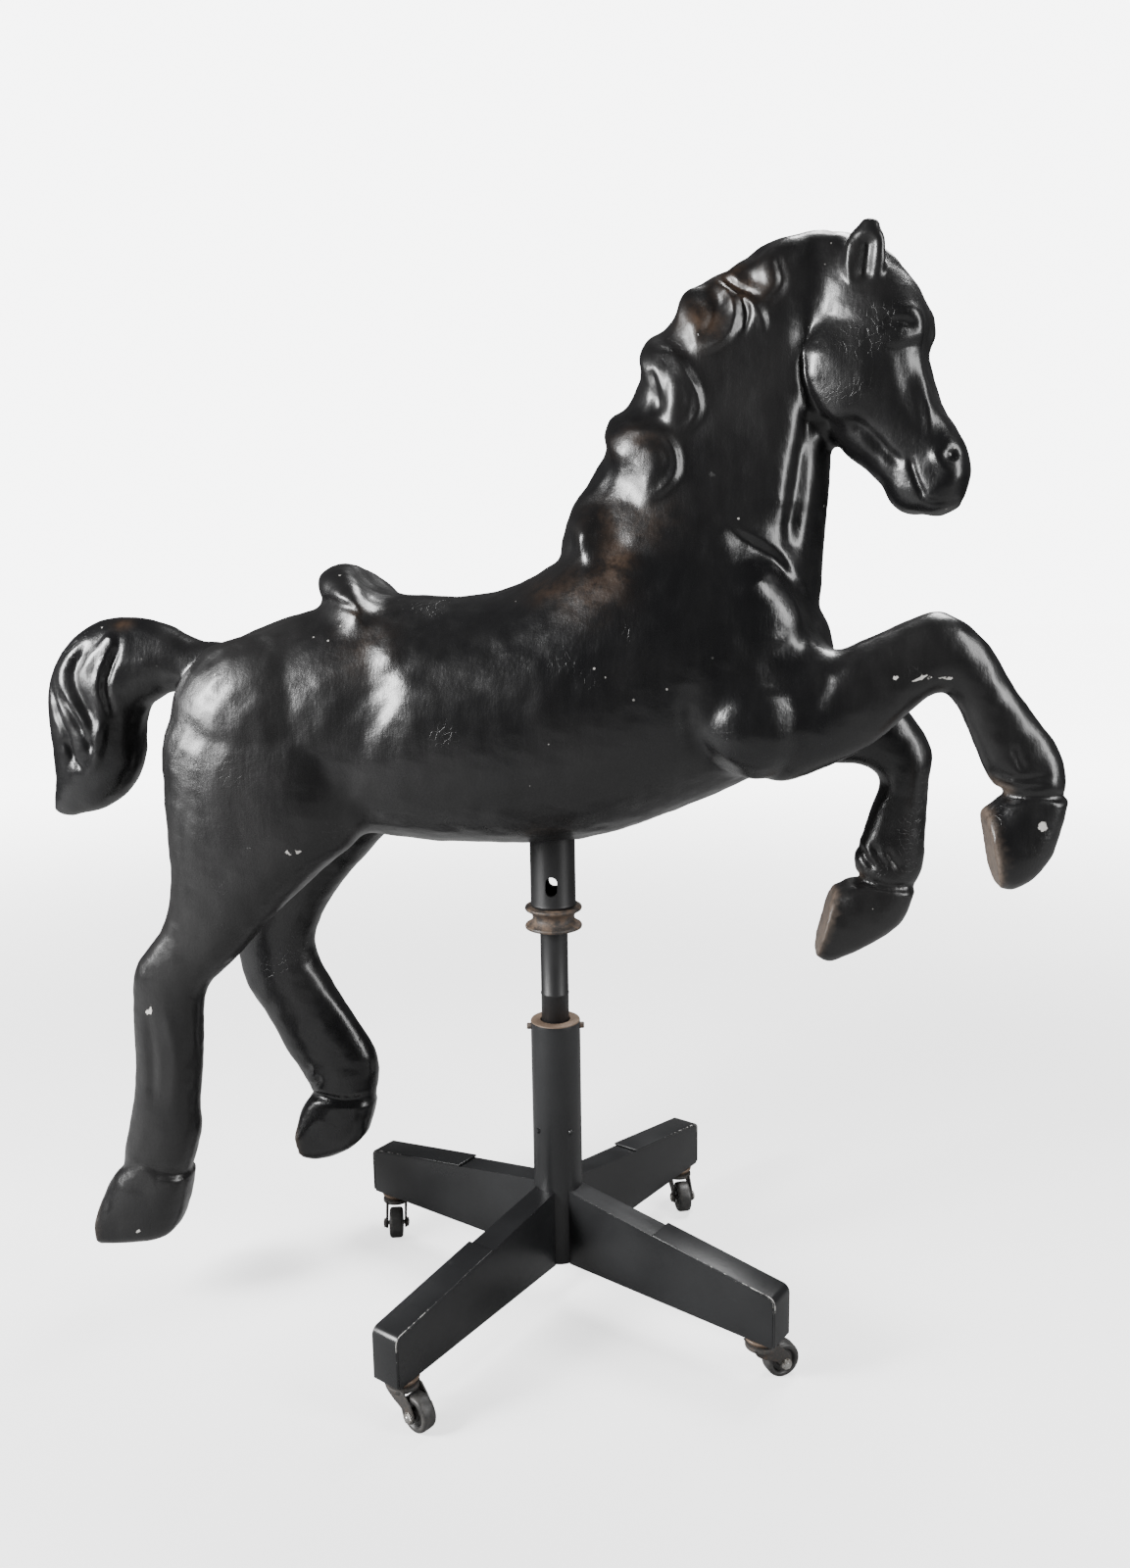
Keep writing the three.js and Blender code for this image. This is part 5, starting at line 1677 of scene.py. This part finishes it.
# ---------------------------------------------------------------- the studio
@dataclass
class Studio:
    """The camera, the soft lights and the pale floor."""

    eye: Triple = (227.25, -1434.8, 930.2)
    tilt: float = 10.52
    pan: float = 0.64
    roll: float = -0.91
    body_yaw: float = 9.0
    lens: float = 28.81
    floor_glow: Pair = (1.9, 7.7)  # near the stand and far from it
    floor_mirrored: float = 0.27
    world_seen: float = 7.0
    world_light: float = 0.07
    lamps: tuple[tuple, ...] = (
        ("left", (-1.95, -1.0, 1.25), (-0.1, 0.0, 0.85), (1.0, 0.9), 75.0),
        ("front", (-1.75, -1.25, 1.6), (-0.1, 0.0, 0.85), (0.5, 0.8), 75.0),
        ("right", (2.3, -0.95, 1.6), (0.2, 0.0, 0.9), (0.7, 1.9), 60.0),
        ("behind", (0.9, 1.3, 3.0), (0.0, 0.0, 0.8), (1.1, 1.1), 110.0),
    )

    def build(self, shop: Shop) -> None:
        """Sets up the studio around the horse.

        Args:
            shop: gives the column's axis.
        """
        self.camera(shop)
        self.floor()
        self.lights()

    def camera(self, shop: Shop) -> None:
        """A camera whose long side sees 36 mm of the lens's picture.

        Args:
            shop: gives the column's axis.
        """
        tilt, pan, roll = (math.radians(v) for v in (self.tilt, self.pan, self.roll))
        ahead = Vector((math.sin(pan) * math.cos(tilt), math.cos(pan) * math.cos(tilt), -math.sin(tilt)))
        right = Vector((math.cos(pan), -math.sin(pan), 0))
        up = right.cross(ahead)
        right, up = (right * math.cos(roll) + up * math.sin(roll),
                     up * math.cos(roll) - right * math.sin(roll))
        turn = Matrix.Rotation(math.radians(self.body_yaw), 3, "Z")
        right, up, ahead = turn @ right, turn @ up, turn @ ahead
        data = bpy.data.cameras.new("camera")
        data.sensor_width, data.sensor_fit, data.lens = 36.0, "AUTO", self.lens
        data.clip_start, data.clip_end = 0.05, 50.0
        camera = linked("camera", data)
        place = Matrix((right, up, -ahead)).transposed().to_4x4()
        place.translation = (Vector((*shop.axis, 0)) + Vector(self.eye)) * MM
        camera.matrix_world = place
        bpy.context.scene.camera = camera

    def floor(self) -> None:
        """A pale floor that is wide enough for every view."""
        reach = 14.0
        corners = np.array([[-reach, -reach, 0], [reach, -reach, 0], [reach, reach, 0],
                            [-reach, reach, 0]])
        mesh = mesh_of(Surface(corners, np.array([[0, 1, 2, 3]])), "floor")
        b = Bench("floor_paper")
        b.shader.inputs["Roughness"].default_value = 0.8
        b.shader.inputs["Specular IOR Level"].default_value = 0.2
        seen = b.node("LightPath", {}).outputs["Is Camera Ray"]
        paper = b.mix(b.noise(1.5, 3.0), (0.84, 0.84, 0.845), (0.88, 0.88, 0.88))
        away = b.node("VectorMath", {0: b.place}, operation="LENGTH")
        glow = b.times(seen, b.ramp(away.outputs["Value"], 1.0, 4.5, *self.floor_glow))
        duller = b.mix(seen, (self.floor_mirrored,) * 3, paper)
        mesh.materials.append(b.done(Base_Color=duller, Emission_Color=paper, Emission_Strength=glow))
        linked("floor", mesh)

    def lights(self) -> None:
        """Soft lights on the left, in front, on the right and behind, and a white surround."""
        for name, where, aim, size, power in self.lamps:
            data = bpy.data.lights.new(name, "AREA")
            data.shape, data.size, data.size_y, data.energy = "RECTANGLE", size[0], size[1], power
            lamp = linked(name, data)
            lamp.location = Vector(where)
            lamp.rotation_euler = (Vector(aim) - Vector(where)).to_track_quat("-Z", "Y").to_euler()
        world = bpy.data.worlds.new("white_surround")
        world.use_nodes = True
        tree = world.node_tree
        ground = tree.nodes["Background"]
        seen = tree.nodes.new("ShaderNodeLightPath").outputs["Is Camera Ray"]
        strength = tree.nodes.new("ShaderNodeMapRange")
        tree.links.new(seen, strength.inputs["Value"])
        strength.inputs["To Min"].default_value = self.world_light
        strength.inputs["To Max"].default_value = self.world_seen
        tree.links.new(strength.outputs["Result"], ground.inputs["Strength"])
        ground.inputs["Color"].default_value = (0.97, 0.975, 0.98, 1)
        bpy.context.scene.world = world


def main() -> None:
    """Builds the scene's parts in order."""
    logging.basicConfig(level=logging.INFO, format="%(name)s %(message)s")
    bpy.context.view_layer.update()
    shop = Shop()
    for part in (Studio(), Horse(), Pole(), Foot(), Casters()):
        part.build(shop)
        LOG.info("%s done", type(part).__name__)


if __name__ == "__main__":
    main()
